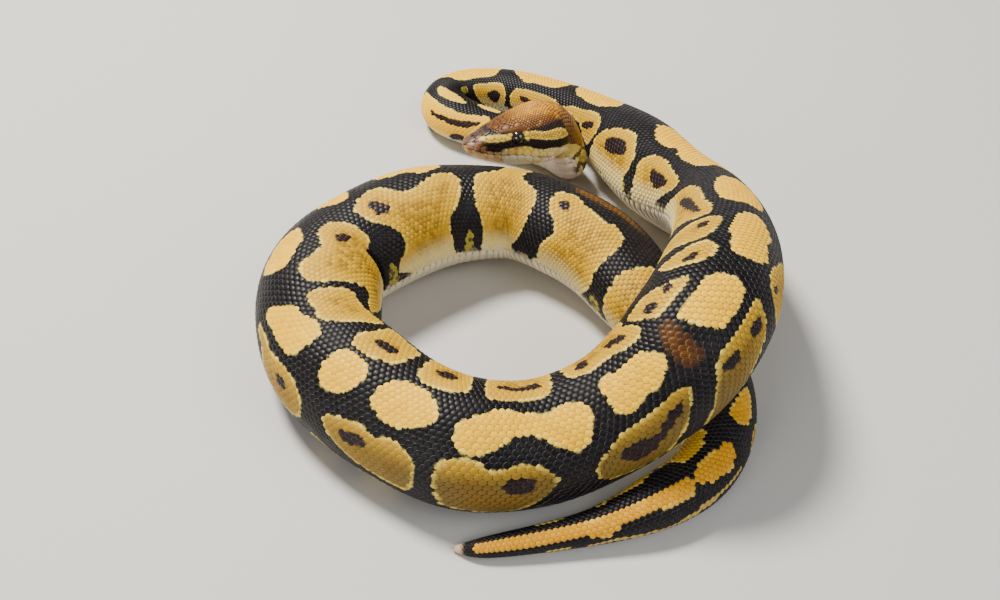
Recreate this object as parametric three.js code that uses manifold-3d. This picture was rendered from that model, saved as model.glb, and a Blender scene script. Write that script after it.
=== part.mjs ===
import * as THREE from "three";
import * as BufferGeometryUtils from "three/addons/utils/BufferGeometryUtils.js";
import Module from "manifold-3d";

// A coiled ball python at life size: head, lower jaw, eyes, neck, lengths of trunk and tail.
// Millimetres, +Z up, belly on the plane z = 0, origin under the middle of the coil.

const CENTRE_X = 5.18;            // middle of the coil in the plan that the stations are written in
const CENTRE_Y = 8.11;
const PRESS = 0.94;               // share of the half height at which the backbone sits above the floor
const STEP = 1.0;                 // spacing along the backbone after smoothing
const SMOOTHING = 4;              // passes over the backbone
const SIDES = 20;                 // faces around a length of the body
const RING_SPACING = 5.4;         // between rings of a length of the body
const JOINT_GAP = 0.4;            // between neighbouring lengths
const NAPE_GAP = 0.8;             // between head and neck, where the fold closes on itself
const FIT_GAP = 0.3;              // round the eyes and along the mouth
const BEND_LIMIT = 0.92;          // share of the bend radius that the inner side may reach
const BEND_START = 0.55;          // share at which the inner side begins to press together

const SNOUT = new THREE.Vector3(-13.6, 54.8, 25.0);
const NAPE = new THREE.Vector3(18.0, 66.5, 21.3);
const HEAD_SIDES = 28;
const HEAD_RINGS = 22;
const HEAD_LEAN = 0.3;            // head turned a little on its axis, crown away from the coil

const EYE_RADIUS = 2.7;
const EYE_ALONG = 18.5;           // from the snout
const EYE_ASIDE = 7.8;
const EYE_UP = 3.5;

const MOUTH_FRONT = 1.3;          // where the lower jaw begins behind the snout
const MOUTH_CORNER = 30.5;
const JAW_END = 33.2;
const MOUTH_DROP = 2.6;           // mouth line under the head's axis
const MOUTH_RISE = 0.2;           // the same at the front of the snout
const MOUTH_SAG = 0.9;            // further drop towards the corner

const SKIN_DARK = 0x2c2726;
const SKIN_GOLD = 0xb08d42;
const HEAD_BROWN = 0x6e4a28;
const JAW_CREAM = 0xcdb583;
const EYE_DARK = 0x120e0c;

// stations along the body: name, x, y, belly height, half width, lean x, lean y, height over width
const STATIONS = [
  ["fold1", 23.6, 66.4, 11.4, 8.0, 0.7, 0.6, 0.88],
  ["fold2", 25.5, 65, 3.8, 7.9, 1.2, 0.8, 0.88],
  ["under", 21.8, 73.0, 0.3, 7.6, 0.8, 0.4, 0.86],
  ["neck1", 13.5, 80.0, 0, 8.1, 0.1, 0.1, 0.84],
  ["neck2", 3, 85.5, 0, 8.7, 0, 0.2, 0.88],
  ["neck3", -10, 91, 0, 9.4, -0.1, 0.3, 0.88],
  ["loop1", -19.5, 97.5, 0, 9.8, -0.4, 0.3, 0.88],
  ["loop2", -22.5, 106, 0, 9.6, -0.5, 0.3, 0.88],
  ["loop3", -17, 113.5, 0, 9.4, -0.2, 0.5, 0.88],
  ["fore1", -4, 115, 0, 9.6, 0, 0.5, 0.88],
  ["fore2", 9, 110.5, 0, 10.3, 0.2, 0.45, 0.88],
  ["fore3", 24, 100.5, 0, 11.4, 0.25, 0.4, 0.88],
  ["fore4", 39.4, 85.3, 0, 13.3, 0.3, 0.4, 0.88],
  ["fore5", 51.7, 65.3, 0.5, 16.6, 0.4, 0.3, 0.87],
  ["fore6", 62, 42.9, 2.4, 17.7, 0.6, 0.2, 0.86],
  ["cross1", 72.1, 16.6, 12, 17.1, 0.8, 0, 0.86],
  ["cross2", 72.4, -11.9, 21.1, 18.4, 0.62, 0, 0.85],
  ["cross3", 65.2, -41.2, 27.3, 19.8, 0.3, 0, 0.85],
  ["cross4", 56.3, -57.3, 23.7, 20.3, 0.3, -0.1, 0.86],
  ["cross5", 46.4, -64.9, 15.1, 19.7, 0.1, -0.2, 0.87],
  ["near1", 32.1, -70.8, 6, 18.6, 0.15, -0.3, 0.88],
  ["near2", 11.9, -76.6, 0, 19.1, 0.1, -0.4, 0.88],
  ["near3", -9.5, -77.9, 0, 20.0, -0.1, -0.45, 0.88],
  ["near4", -27.5, -68.9, 0, 19.8, -0.25, -0.4, 0.88],
  ["left1", -43.8, -55, 0, 20.4, -0.4, -0.3, 0.88],
  ["left2", -55.2, -39.9, 0, 20.1, -0.5, -0.15, 0.88],
  ["left3", -59, -19.3, 0, 21.5, -0.55, 0, 0.88],
  ["left4", -56.9, -2.8, 0, 21.0, -0.5, 0.15, 0.88],
  ["far1", -45.7, 9.7, 0, 21.3, -0.4, 0.3, 0.88],
  ["far2", -29.5, 21.4, 0, 21.2, -0.2, 0.5, 0.88],
  ["far3", -12, 27.6, 0, 19.4, 0, 0.55, 0.88],
  ["far4", 7, 27.9, 0, 18.1, 0.15, 0.5, 0.88],
  ["far5", 24.6, 17.2, 0, 17.8, 0.3, 0.4, 0.9],
  ["hind1", 36.3, 5.7, 0, 17.6, 0.35, 0.35, 0.88],
  ["hind2", 46.8, -11.2, 0, 16.6, 0.3, 0.3, 0.82],
  ["hind3", 58.5, -29, 0, 15.0, 0.3, 0.2, 0.78],
  ["hind4", 67.3, -46, 0, 12.8, 0.4, 0, 0.8],
  ["vent", 68.4, -64, 0, 10.4, 0.4, -0.2, 0.82],
  ["tail1", 60.4, -80.9, 0, 9.5, 0.3, -0.2, 0.84],
  ["tail2", 46.2, -91.6, 0, 8.6, 0.2, -0.25, 0.85],
  ["tail3", 25.9, -99.4, 0, 5.4, 0.1, -0.25, 0.88],
  ["tail4", -3.9, -104.9, 0, 3.3, 0, -0.25, 0.88],
  ["tip", -13.4, -103.9, 0, 0.9, 0, -0.3, 0.88],
];

// head by share of its length: half width, height above the axis, depth below it, squareness of each
const HEAD_PROFILE = [
  [0.0, 0.8, 0.7, 0.9, 2.2, 2.2],
  [0.02, 2.9, 1.7, 2.4, 2.4, 2.4],
  [0.07, 4.5, 2.9, 4.0, 2.6, 2.6],
  [0.16, 6.0, 4.4, 5.7, 2.7, 2.7],
  [0.3, 8.0, 7.0, 7.4, 2.7, 2.6],
  [0.45, 10.0, 9.6, 8.5, 2.6, 2.5],
  [0.6, 12.0, 11.5, 8.8, 2.5, 2.4],
  [0.74, 13.6, 12.4, 8.6, 2.4, 2.3],
  [0.84, 13.5, 12.0, 8.1, 2.3, 2.2],
  [0.93, 11.8, 10.2, 7.8, 2.1, 2.1],
  [1.0, 9.8, 8.6, 7.6, 2.0, 2.0],
];
const HEAD_LENGTH = 41.0;         // snout to the back of the jaws, along the backbone
const HEAD_BLEND = [0.86, 0.24];  // where the head's section turns into the neck's, and over what share
const FLANK = { at: 224, reach: 24, squareness: 1.0 };   // flank pressed wide against the neck fold

// lengths of the body, as distances from the snout
const LENGTHS = [
  ["neck", 38.6, 96],
  ["trunk_1", 96, 186],
  ["trunk_2", 186, 270],
  ["trunk_3", 270, 340],
  ["trunk_4", 340, 425],
  ["trunk_5", 425, 510],
  ["trunk_6", 510, 594],
  ["trunk_7", 594, 668],
  ["trunk_8", 668, 728],
  ["tail", 728, 900],
];

const smooth01 = (t) => t * t * (3 - 2 * t);
const clamp = THREE.MathUtils.clamp;

// rows of numbers followed as one smooth curve through the stations
function followRows(rows, samples) {
  const last = rows.length - 1;
  const out = [];
  for (let k = 0; k < samples; k++) {
    const t = (last * k) / (samples - 1);
    const i = Math.min(Math.floor(t), last - 1);
    const f = t - i;
    out.push(rows[0].map((_, c) => {
      const p1 = rows[i][c];
      const p2 = rows[i + 1][c];
      const p0 = i > 0 ? rows[i - 1][c] : 2 * p1 - p2;
      const p3 = i < last - 1 ? rows[i + 2][c] : 2 * p2 - p1;
      const linear = (p2 - p0) * f;
      const square = (2 * p0 - 5 * p1 + 4 * p2 - p3) * f * f;
      const cube = (3 * p1 - p0 - 3 * p2 + p3) * f * f * f;
      return 0.5 * (2 * p1 + linear + square + cube);
    }));
  }
  return out;
}

function evenRows(rows, step) {
  const along = [0];
  for (let k = 1; k < rows.length; k++) {
    const [a, b] = [rows[k - 1], rows[k]];
    along.push(along[k - 1] + Math.hypot(b[0] - a[0], b[1] - a[1], b[2] - a[2]));
  }
  const total = along[along.length - 1];
  const count = Math.round(total / step);
  const out = [];
  let j = 0;
  for (let k = 0; k <= count; k++) {
    const s = (total * k) / count;
    while (j < rows.length - 2 && along[j + 1] < s) {
      j++;
    }
    const f = (s - along[j]) / (along[j + 1] - along[j]);
    out.push(rows[j].map((v, c) => v + (rows[j + 1][c] - v) * f));
  }
  return { total, rows: out };
}

function relaxRows(rows, passes) {
  const weights = [1, 2, 3, 2, 1].map((w) => w / 9);
  const n = rows.length;
  let now = rows;
  for (let pass = 0; pass < passes; pass++) {
    const before = now;
    const at = (i, c) => {
      if (i < 0) {
        return 2 * before[0][c] - before[-i][c];
      }
      if (i >= n) {
        return 2 * before[n - 1][c] - before[2 * n - 2 - i][c];
      }
      return before[i][c];
    };
    now = before.map((row, i) => row.map((_, c) => weights.reduce((sum, w, k) => sum + w * at(i + k - 2, c), 0)));
  }
  return now;
}

// value of the head profile's column at a share of the head's length
function headColumn(column, share) {
  const x = HEAD_PROFILE.map((row) => row[0]);
  const y = HEAD_PROFILE.map((row) => row[column]);
  const last = x.length - 1;
  const slope = (i) => {
    if (i === 0) {
      return (y[1] - y[0]) / (x[1] - x[0]);
    }
    if (i === last) {
      return (y[last] - y[last - 1]) / (x[last] - x[last - 1]);
    }
    const before = x[i] - x[i - 1];
    const after = x[i + 1] - x[i];
    const rise = before * before * y[i + 1] + (after * after - before * before) * y[i] - after * after * y[i - 1];
    return rise / (before * after * (before + after));
  };
  let i = 0;
  while (i < last - 1 && x[i + 1] < share) {
    i++;
  }
  const h = x[i + 1] - x[i];
  const f = (share - x[i]) / h;
  const start = (2 * f ** 3 - 3 * f ** 2 + 1) * y[i] + (f ** 3 - 2 * f ** 2 + f) * h * slope(i);
  const end = (3 * f ** 2 - 2 * f ** 3) * y[i + 1] + (f ** 3 - f ** 2) * h * slope(i + 1);
  return start + end;
}

// the backbone: one row per millimetre with its directions and the shape of its section
function makeBackbone() {
  const rows = [];
  const headPoints = 5;
  for (let k = 0; k < headPoints; k++) {
    const p = SNOUT.clone().lerp(NAPE, k / headPoints);
    rows.push([p.x, p.y, p.z, 8.6, 0, HEAD_LEAN, 0.88]);
  }
  rows.push([NAPE.x, NAPE.y, NAPE.z, 8.8, 0.15, 0.34, 0.88]);
  for (const [, x, y, belly, half, leanX, leanY, ratio] of STATIONS) {
    rows.push([x, y, belly + PRESS * ratio * half, half, leanX, leanY, ratio]);
  }
  const even = evenRows(followRows(rows, 8000), STEP);
  const relaxed = relaxRows(even.rows, SMOOTHING);
  const n = relaxed.length;
  const points = relaxed.map((r) => new THREE.Vector3(r[0], r[1], r[2]));
  const between = (list, i) => {
    const a = list[Math.max(i - 1, 0)];
    const b = list[Math.min(i + 1, n - 1)];
    return b.clone().sub(a).divideScalar(i > 0 && i < n - 1 ? 2 : 1);
  };
  const ahead = points.map((_, i) => between(points, i).normalize());
  let bend = ahead.map((_, i) => between(ahead, i));
  for (let pass = 0; pass < 6; pass++) {
    const b = bend;
    bend = b.map((v, i) => (i === 0 || i === n - 1
      ? v
      : b[i - 1].clone().addScaledVector(v, 2).add(b[i + 1]).divideScalar(4)));
  }
  return relaxed.map((r, i) => {
    const s = (even.total * i) / (n - 1);
    const up = new THREE.Vector3(r[4], r[5], 1);
    up.addScaledVector(ahead[i], -up.dot(ahead[i])).normalize();
    const side = new THREE.Vector3().crossVectors(ahead[i], up);
    const squareness = 2 + FLANK.squareness * Math.exp(-(((s - FLANK.at) / FLANK.reach) ** 4));
    const body = [r[3], r[3] * r[6], r[3] * r[6], 2, squareness];
    const share = clamp(s / HEAD_LENGTH, 0, 1);
    const blend = smooth01(clamp((s - HEAD_BLEND[0] * HEAD_LENGTH) / (HEAD_BLEND[1] * HEAD_LENGTH), 0, 1));
    const shape = body.map((v, c) => (blend < 1 ? headColumn(c + 1, share) * (1 - blend) : 0) + v * blend);
    return { s, point: points[i], ahead: ahead[i], up, side, bend: bend[i], shape };
  });
}

const backbone = makeBackbone();
const TOTAL = backbone[backbone.length - 1].s;

function stationAt(s) {
  const t = clamp(s / TOTAL, 0, 1) * (backbone.length - 1);
  const i = Math.min(Math.floor(t), backbone.length - 2);
  const f = t - i;
  const [a, b] = [backbone[i], backbone[i + 1]];
  return {
    point: a.point.clone().lerp(b.point, f),
    up: a.up.clone().lerp(b.up, f).normalize(),
    side: a.side.clone().lerp(b.side, f).normalize(),
    bend: a.bend.clone().lerp(b.bend, f),
    shape: a.shape.map((v, c) => v + (b.shape[c] - v) * f),
  };
}

// a point of the body's surface: angle 0 on the back, +90 degrees on the inner side of the coil
function surfacePoint(station, angle) {
  const [half, top, bottom, squareTop, squareBottom] = station.shape;
  const s = Math.sin(angle);
  const c = Math.cos(angle);
  const n = c > 0 ? squareTop : squareBottom;
  const aside = half * Math.sign(s) * Math.abs(s) ** (2 / n);
  const raised = (c > 0 ? top : bottom) * Math.sign(c) * Math.abs(c) ** (2 / n);
  const offset = station.side.clone().multiplyScalar(aside).addScaledVector(station.up, raised);
  const bend = station.bend.length();
  if (bend > 1e-6) {
    const inward = station.bend.clone().divideScalar(bend);
    const limit = BEND_LIMIT / bend;
    const start = BEND_START * limit;
    const reach = offset.dot(inward);
    if (reach > start) {
      const room = limit * (1 - BEND_START);
      offset.addScaledVector(inward, start + room * Math.tanh((reach - start) / room) - reach);
    }
  }
  const p = station.point.clone().add(offset);
  p.z = Math.max(p.z, 0);
  return p;
}

// a closed solid through rings of points, with a fan over each end
function loft(rings) {
  const sides = rings[0].length;
  const positions = rings.flat().flatMap((p) => [p.x, p.y, p.z]);
  const index = [];
  for (let r = 0; r < rings.length - 1; r++) {
    for (let k = 0; k < sides; k++) {
      const a = r * sides + k;
      const b = r * sides + ((k + 1) % sides);
      index.push(a, b, a + sides, b, b + sides, a + sides);
    }
  }
  const addEnd = (ring, first, flip) => {
    const middle = ring.reduce((sum, p) => sum.add(p), new THREE.Vector3()).divideScalar(sides);
    const centre = positions.length / 3;
    positions.push(middle.x, middle.y, middle.z);
    for (let k = 0; k < sides; k++) {
      const a = first + k;
      const b = first + ((k + 1) % sides);
      index.push(...(flip ? [centre, a, b] : [centre, b, a]));
    }
  };
  addEnd(rings[0], 0, false);
  addEnd(rings[rings.length - 1], (rings.length - 1) * sides, true);
  const geometry = new THREE.BufferGeometry();
  geometry.setAttribute("position", new THREE.Float32BufferAttribute(positions, 3));
  geometry.setIndex(index);
  return geometry;
}

function ringAt(s, sides) {
  const station = stationAt(s);
  return Array.from({ length: sides }, (_, k) => surfacePoint(station, (2 * Math.PI * k) / sides));
}

function bodyLength(from, to) {
  const start = from + JOINT_GAP / 2;
  const end = Math.min(to - JOINT_GAP / 2, TOTAL);
  const count = Math.ceil((end - start) / RING_SPACING);
  const rings = [];
  for (let k = 0; k <= count; k++) {
    rings.push(ringAt(start + ((end - start) * k) / count, SIDES));
  }
  return loft(rings);
}

// ---- solids cut with one another ----
const wasm = await Module();
wasm.setup();

function toSolid(geometry) {
  const bare = geometry.clone();
  bare.deleteAttribute("normal");
  bare.deleteAttribute("uv");
  const merged = BufferGeometryUtils.mergeVertices(bare, 1e-5);
  const mesh = new wasm.Mesh({
    numProp: 3,
    vertProperties: new Float32Array(merged.attributes.position.array),
    triVerts: new Uint32Array(merged.index.array),
  });
  return new wasm.Manifold(mesh);
}

function toGeometry(solid) {
  const mesh = solid.getMesh();
  const geometry = new THREE.BufferGeometry();
  geometry.setAttribute("position", new THREE.Float32BufferAttribute(mesh.vertProperties, 3));
  geometry.setIndex(Array.from(mesh.triVerts));
  return geometry;
}

// head coordinates: x from the snout to the nape, y to the animal's right, z to the crown
const headAhead = NAPE.clone().sub(SNOUT).normalize();
const headUp = new THREE.Vector3(0, HEAD_LEAN, 1);
headUp.addScaledVector(headAhead, -headUp.dot(headAhead)).normalize();
const headFrame = new THREE.Matrix4().makeBasis(headAhead, new THREE.Vector3().crossVectors(headUp, headAhead), headUp);
headFrame.setPosition(SNOUT);

function headSolid() {
  const rings = [];
  const end = LENGTHS[0][1] - NAPE_GAP;
  for (let k = 0; k <= HEAD_RINGS; k++) {
    const f = k / HEAD_RINGS;
    rings.push(ringAt(end * (0.35 * f * f + 0.65 * f), HEAD_SIDES));
  }
  return toSolid(loft(rings));
}

// everything under the mouth line, from the snout to the end of the jaw
function underMouth(raise) {
  const deep = -30;
  const wide = 60;
  const shape = new THREE.Shape();
  shape.moveTo(JAW_END + raise, deep);
  shape.lineTo(JAW_END + raise, -MOUTH_DROP - MOUTH_SAG - 2.2 + raise);
  shape.lineTo(MOUTH_CORNER + raise, -MOUTH_DROP - MOUTH_SAG + raise);
  shape.quadraticCurveTo(MOUTH_CORNER * 0.6, -MOUTH_DROP - MOUTH_SAG + raise, MOUTH_CORNER * 0.35, -MOUTH_DROP + raise);
  shape.lineTo(MOUTH_FRONT - raise, -MOUTH_RISE + raise);
  shape.lineTo(MOUTH_FRONT - raise, deep);
  const block = new THREE.ExtrudeGeometry(shape, { depth: wide, bevelEnabled: false, curveSegments: 6 });
  block.rotateX(Math.PI / 2);
  block.translate(0, wide / 2, 0);
  block.applyMatrix4(headFrame);
  return toSolid(block);
}

function eyeBall(sideSign, radius, detail) {
  const ball = new THREE.SphereGeometry(radius, detail, Math.round(detail * 0.6));
  ball.rotateX(Math.PI / 2);
  ball.translate(EYE_ALONG, sideSign * EYE_ASIDE, EYE_UP);
  ball.applyMatrix4(headFrame);
  return ball;
}

const wholeHead = headSolid();
const socketLeft = toSolid(eyeBall(1, EYE_RADIUS + FIT_GAP, 16));
const socketRight = toSolid(eyeBall(-1, EYE_RADIUS + FIT_GAP, 16));
const upperHead = wholeHead.subtract(underMouth(FIT_GAP / 2)).subtract(socketLeft).subtract(socketRight);
const lowerJaw = wholeHead.intersect(underMouth(-FIT_GAP / 2));

// ---- the group ----
const group = new THREE.Group();
group.position.set(-CENTRE_X, -CENTRE_Y, 0);

function addPiece(name, geometry, color, roughness) {
  const material = new THREE.MeshStandardMaterial({ color, roughness, metalness: 0 });
  geometry.computeVertexNormals();
  const mesh = new THREE.Mesh(geometry, material);
  mesh.name = name;
  group.add(mesh);
}

addPiece("head", toGeometry(upperHead), HEAD_BROWN, 0.45);
addPiece("jaw", toGeometry(lowerJaw), JAW_CREAM, 0.5);
addPiece("eye_left", toGeometry(toSolid(eyeBall(-1, EYE_RADIUS, 16))), EYE_DARK, 0.1);
addPiece("eye_right", toGeometry(toSolid(eyeBall(1, EYE_RADIUS, 16))), EYE_DARK, 0.1);
LENGTHS.forEach(([name, from, to], k) => {
  addPiece(name, bodyLength(from, to), k % 2 ? SKIN_GOLD : SKIN_DARK, 0.4);
});

export default group;
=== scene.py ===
# A coiled ball python at life size, lying on a pale studio floor.
# The body is one smooth skin swept along its backbone, dressed in separate scales.
# Lengths are worked out in millimetres along the backbone and turned into metres when a mesh is made.
# "Along" is the distance from the snout; the angle is 0 on the back, plus on the coil's inner side
# (the animal's left on the head), minus on the outer side and 180 under the belly.
import math

import bpy
import numpy as np
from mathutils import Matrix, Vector


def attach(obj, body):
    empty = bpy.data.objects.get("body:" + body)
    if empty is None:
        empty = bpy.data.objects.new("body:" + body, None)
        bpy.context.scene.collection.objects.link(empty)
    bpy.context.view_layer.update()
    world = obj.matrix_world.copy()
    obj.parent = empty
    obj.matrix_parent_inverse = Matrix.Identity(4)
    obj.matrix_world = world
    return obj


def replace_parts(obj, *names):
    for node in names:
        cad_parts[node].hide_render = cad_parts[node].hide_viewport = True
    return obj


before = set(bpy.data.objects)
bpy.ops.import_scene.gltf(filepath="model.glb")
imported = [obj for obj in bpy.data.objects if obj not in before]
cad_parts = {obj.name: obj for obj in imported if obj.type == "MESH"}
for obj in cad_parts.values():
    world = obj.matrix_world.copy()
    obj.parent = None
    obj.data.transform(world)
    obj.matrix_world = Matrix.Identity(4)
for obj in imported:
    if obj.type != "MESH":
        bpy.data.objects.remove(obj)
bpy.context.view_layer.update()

MM = 0.001
RANDOM = np.random.default_rng(7)

# ---- the body's plan, the same stations as the solids ----
CENTRE = np.array([5.18, 8.11, 0.0])     # middle of the coil in the plan of the stations
PRESS = 0.94                             # share of the half height at which the backbone sits
SNOUT = np.array([-13.6, 54.8, 25.0])
NAPE = np.array([18.0, 66.5, 21.3])
HEAD_POINTS = 5                          # on the straight run from the snout to the nape
HEAD_STATION = (8.6, 0, 0.3, 0.88)       # half width, lean x, lean y, height over width
NAPE_STATION = (8.8, 0.15, 0.34, 0.88)
FINE_POINTS = 8000                       # on the curve before it is cut into even steps
SMOOTHING = 4                            # passes over the backbone
SMOOTHING_WEIGHTS = np.array([1, 2, 3, 2, 1]) / 9
BEND_SMOOTHING = 6                       # passes over the bends
BEND_LIMIT = 0.92                        # of a bend's radius: the flesh on its inner side goes no further
BEND_START = 0.55                        # of that limit, where the flesh begins to press together
HEAD_LENGTH = 41.0                       # snout to the back of the jaws, along the backbone
HEAD_BLEND = (0.86, 0.24)                # start and width of the change from head to neck, in head lengths
FLANK_AT, FLANK_REACH, FLANK_SQUARE = 224.0, 24.0, 1.0    # where the flank beside the hind body is squarer

# x, y, belly height, half width, lean x, lean y, height over width
STATIONS = [
    (23.6, 66.4, 11.4, 8.0, 0.7, 0.6, 0.88),
    (25.5, 65, 3.8, 7.9, 1.2, 0.8, 0.88),
    (21.8, 73, 0.3, 7.6, 0.8, 0.4, 0.86),
    (13.5, 80, 0, 8.1, 0.1, 0.1, 0.84),
    (3, 85.5, 0, 8.7, 0, 0.2, 0.88),
    (-10, 91, 0, 9.4, -0.1, 0.3, 0.88),
    (-19.5, 97.5, 0, 9.8, -0.4, 0.3, 0.88),
    (-22.5, 106, 0, 9.6, -0.5, 0.3, 0.88),
    (-17, 113.5, 0, 9.4, -0.2, 0.5, 0.88),
    (-4, 115, 0, 9.6, 0, 0.5, 0.88),
    (9, 110.5, 0, 10.3, 0.2, 0.45, 0.88),
    (24, 100.5, 0, 11.4, 0.25, 0.4, 0.88),
    (39.4, 85.3, 0, 13.3, 0.3, 0.4, 0.88),
    (51.7, 65.3, 0.5, 16.6, 0.4, 0.3, 0.87),
    (62, 42.9, 2.4, 17.7, 0.6, 0.2, 0.86),
    (72.1, 16.6, 12, 17.1, 0.8, 0, 0.86),
    (72.4, -11.9, 21.1, 18.4, 0.62, 0, 0.85),
    (65.2, -41.2, 27.3, 19.8, 0.3, 0, 0.85),
    (56.3, -57.3, 23.7, 20.3, 0.3, -0.1, 0.86),
    (46.4, -64.9, 15.1, 19.7, 0.1, -0.2, 0.87),
    (32.1, -70.8, 6, 18.6, 0.15, -0.3, 0.88),
    (11.9, -76.6, 0, 19.1, 0.1, -0.4, 0.88),
    (-9.5, -77.9, 0, 20.0, -0.1, -0.45, 0.88),
    (-27.5, -68.9, 0, 19.8, -0.25, -0.4, 0.88),
    (-43.8, -55, 0, 20.4, -0.4, -0.3, 0.88),
    (-55.2, -39.9, 0, 20.1, -0.5, -0.15, 0.88),
    (-59, -19.3, 0, 21.5, -0.55, 0, 0.88),
    (-56.9, -2.8, 0, 21.0, -0.5, 0.15, 0.88),
    (-45.7, 9.7, 0, 21.3, -0.4, 0.3, 0.88),
    (-29.5, 21.4, 0, 21.2, -0.2, 0.5, 0.88),
    (-12, 27.6, 0, 19.4, 0, 0.55, 0.88),
    (7, 27.9, 0, 18.1, 0.15, 0.5, 0.88),
    (24.6, 17.2, 0, 17.8, 0.3, 0.4, 0.9),
    (36.3, 5.7, 0, 17.6, 0.35, 0.35, 0.88),
    (46.8, -11.2, 0, 16.6, 0.3, 0.3, 0.82),
    (58.5, -29, 0, 15.0, 0.3, 0.2, 0.78),
    (67.3, -46, 0, 12.8, 0.4, 0, 0.8),
    (68.4, -64, 0, 10.4, 0.4, -0.2, 0.82),
    (60.4, -80.9, 0, 9.5, 0.3, -0.2, 0.84),
    (46.2, -91.6, 0, 8.6, 0.2, -0.25, 0.85),
    (25.9, -99.4, 0, 5.4, 0.1, -0.25, 0.88),
    (-3.9, -104.9, 0, 3.3, 0, -0.25, 0.88),
    (-13.4, -103.9, 0, 0.9, 0, -0.3, 0.88),
]

# head by share of its length: half width, height over the axis, depth under it, squareness of each
HEAD_PROFILE = np.array([
    (0.0, 0.8, 0.7, 0.9, 2.2, 2.2),
    (0.02, 2.9, 1.7, 2.4, 2.4, 2.4),
    (0.07, 4.5, 2.9, 4.0, 2.6, 2.6),
    (0.16, 6.0, 4.4, 5.7, 2.7, 2.7),
    (0.3, 8.0, 7.0, 7.4, 2.7, 2.6),
    (0.45, 10.0, 9.6, 8.5, 2.6, 2.5),
    (0.6, 12.0, 11.5, 8.8, 2.5, 2.4),
    (0.74, 13.6, 12.4, 8.6, 2.4, 2.3),
    (0.84, 13.5, 12.0, 8.1, 2.3, 2.2),
    (0.93, 11.8, 10.2, 7.8, 2.1, 2.1),
    (1.0, 9.8, 8.6, 7.6, 2.0, 2.0),
])

# columns of a row of the backbone
POINT, UP, SIDE, BEND = slice(0, 3), slice(3, 6), slice(6, 9), slice(9, 12)
HALF, TOP, UNDER, TOP_SQUARE, UNDER_SQUARE = range(12, 17)


def smooth01(t):
    t = np.clip(t, 0, 1)
    return t * t * (3 - 2 * t)


def rise(value, start, width):
    """From 0 at the start to 1 a width further on."""
    return smooth01((value - start) / width)


def fall(value, end, width):
    """From 1 a width before the end to 0 at the end."""
    return smooth01((end - value) / width)


def hump(value, width, power=2):
    """1 where the value is 0, falling off on both sides."""
    return np.exp(-(value / width) ** power)


def normalised(v):
    return v / (np.linalg.norm(v, axis=-1)[..., None] + 1e-12)


def spline(p0, p1, p2, p3, f):
    """Points a share f of the way from p1 to p2 on a smooth curve through all four."""
    square = (2 * p0 - 5 * p1 + 4 * p2 - p3) * f * f
    cube = (3 * p1 - p0 - 3 * p2 + p3) * f ** 3
    return 0.5 * (2 * p1 + (p2 - p0) * f + square + cube)


# ---- the backbone ----
def follow_rows(rows, count):
    """Rows of numbers followed as one smooth curve."""
    last = len(rows) - 1
    t = np.linspace(0, last, count)
    i = np.minimum(np.floor(t).astype(int), last - 1)
    p1, p2 = rows[i], rows[i + 1]
    p0 = np.where((i > 0)[:, None], rows[np.maximum(i - 1, 0)], 2 * p1 - p2)
    p3 = np.where((i < last - 1)[:, None], rows[np.minimum(i + 2, last)], 2 * p2 - p1)
    return spline(p0, p1, p2, p3, (t - i)[:, None])


def head_columns(share):
    """The head profile's columns at shares of the head's length."""
    x = HEAD_PROFILE[:, 0]
    i = np.clip(np.searchsorted(x, share) - 1, 0, len(x) - 2)
    h = x[i + 1] - x[i]
    f = (share - x[i]) / h
    out = []
    for y in HEAD_PROFILE.T[1:]:
        m = np.gradient(y, x)
        start = (2 * f ** 3 - 3 * f ** 2 + 1) * y[i] + (f ** 3 - 2 * f ** 2 + f) * h * m[i]
        end = (3 * f ** 2 - 2 * f ** 3) * y[i + 1] + (f ** 3 - f ** 2) * h * m[i + 1]
        out.append(start + end)
    return np.stack(out, 1)


def make_backbone():
    """Distances along, a millimetre apart, and the row of the backbone at each."""
    head = [(*(SNOUT + (NAPE - SNOUT) * k / HEAD_POINTS), *HEAD_STATION) for k in range(HEAD_POINTS)]
    body = [(x, y, belly + PRESS * ratio * half, half, lean_x, lean_y, ratio)
            for x, y, belly, half, lean_x, lean_y, ratio in STATIONS]
    fine = follow_rows(np.array(head + [(*NAPE, *NAPE_STATION)] + body, float), FINE_POINTS)
    along = np.r_[0, np.cumsum(np.linalg.norm(np.diff(fine[:, :3], axis=0), axis=1))]
    s = np.linspace(0, along[-1], int(round(along[-1])) + 1)
    rows = np.stack([np.interp(s, along, column) for column in fine.T], 1)
    for _ in range(SMOOTHING):
        before = 2 * rows[:1] - rows[1:3][::-1]
        after = 2 * rows[-1:] - rows[-3:-1][::-1]
        padded = np.concatenate([before, rows, after])
        rows = sum(w * padded[k:k + len(rows)] for k, w in enumerate(SMOOTHING_WEIGHTS))
    middle, half, lean, ratio = rows[:, :3], rows[:, 3], rows[:, 4:6], rows[:, 6]
    ahead = normalised(np.gradient(middle, axis=0))
    up = np.c_[lean, np.ones(len(rows))]
    up = normalised(up - (up * ahead).sum(1)[:, None] * ahead)
    side = np.cross(ahead, up)
    bend = np.gradient(ahead, axis=0)
    for _ in range(BEND_SMOOTHING):
        bend = np.concatenate([bend[:1], (bend[:-2] + 2 * bend[1:-1] + bend[2:]) / 4, bend[-1:]])
    square = 2 + FLANK_SQUARE * hump(s - FLANK_AT, FLANK_REACH, 4)
    shape = np.c_[half, half * ratio, half * ratio, np.full(len(s), 2.0), square]
    mix = rise(s, HEAD_BLEND[0] * HEAD_LENGTH, HEAD_BLEND[1] * HEAD_LENGTH)[:, None]
    shape = head_columns(np.clip(s / HEAD_LENGTH, 0, 1)) * (1 - mix) + shape * mix
    return s, np.c_[middle - CENTRE, up, side, bend, shape]


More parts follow.
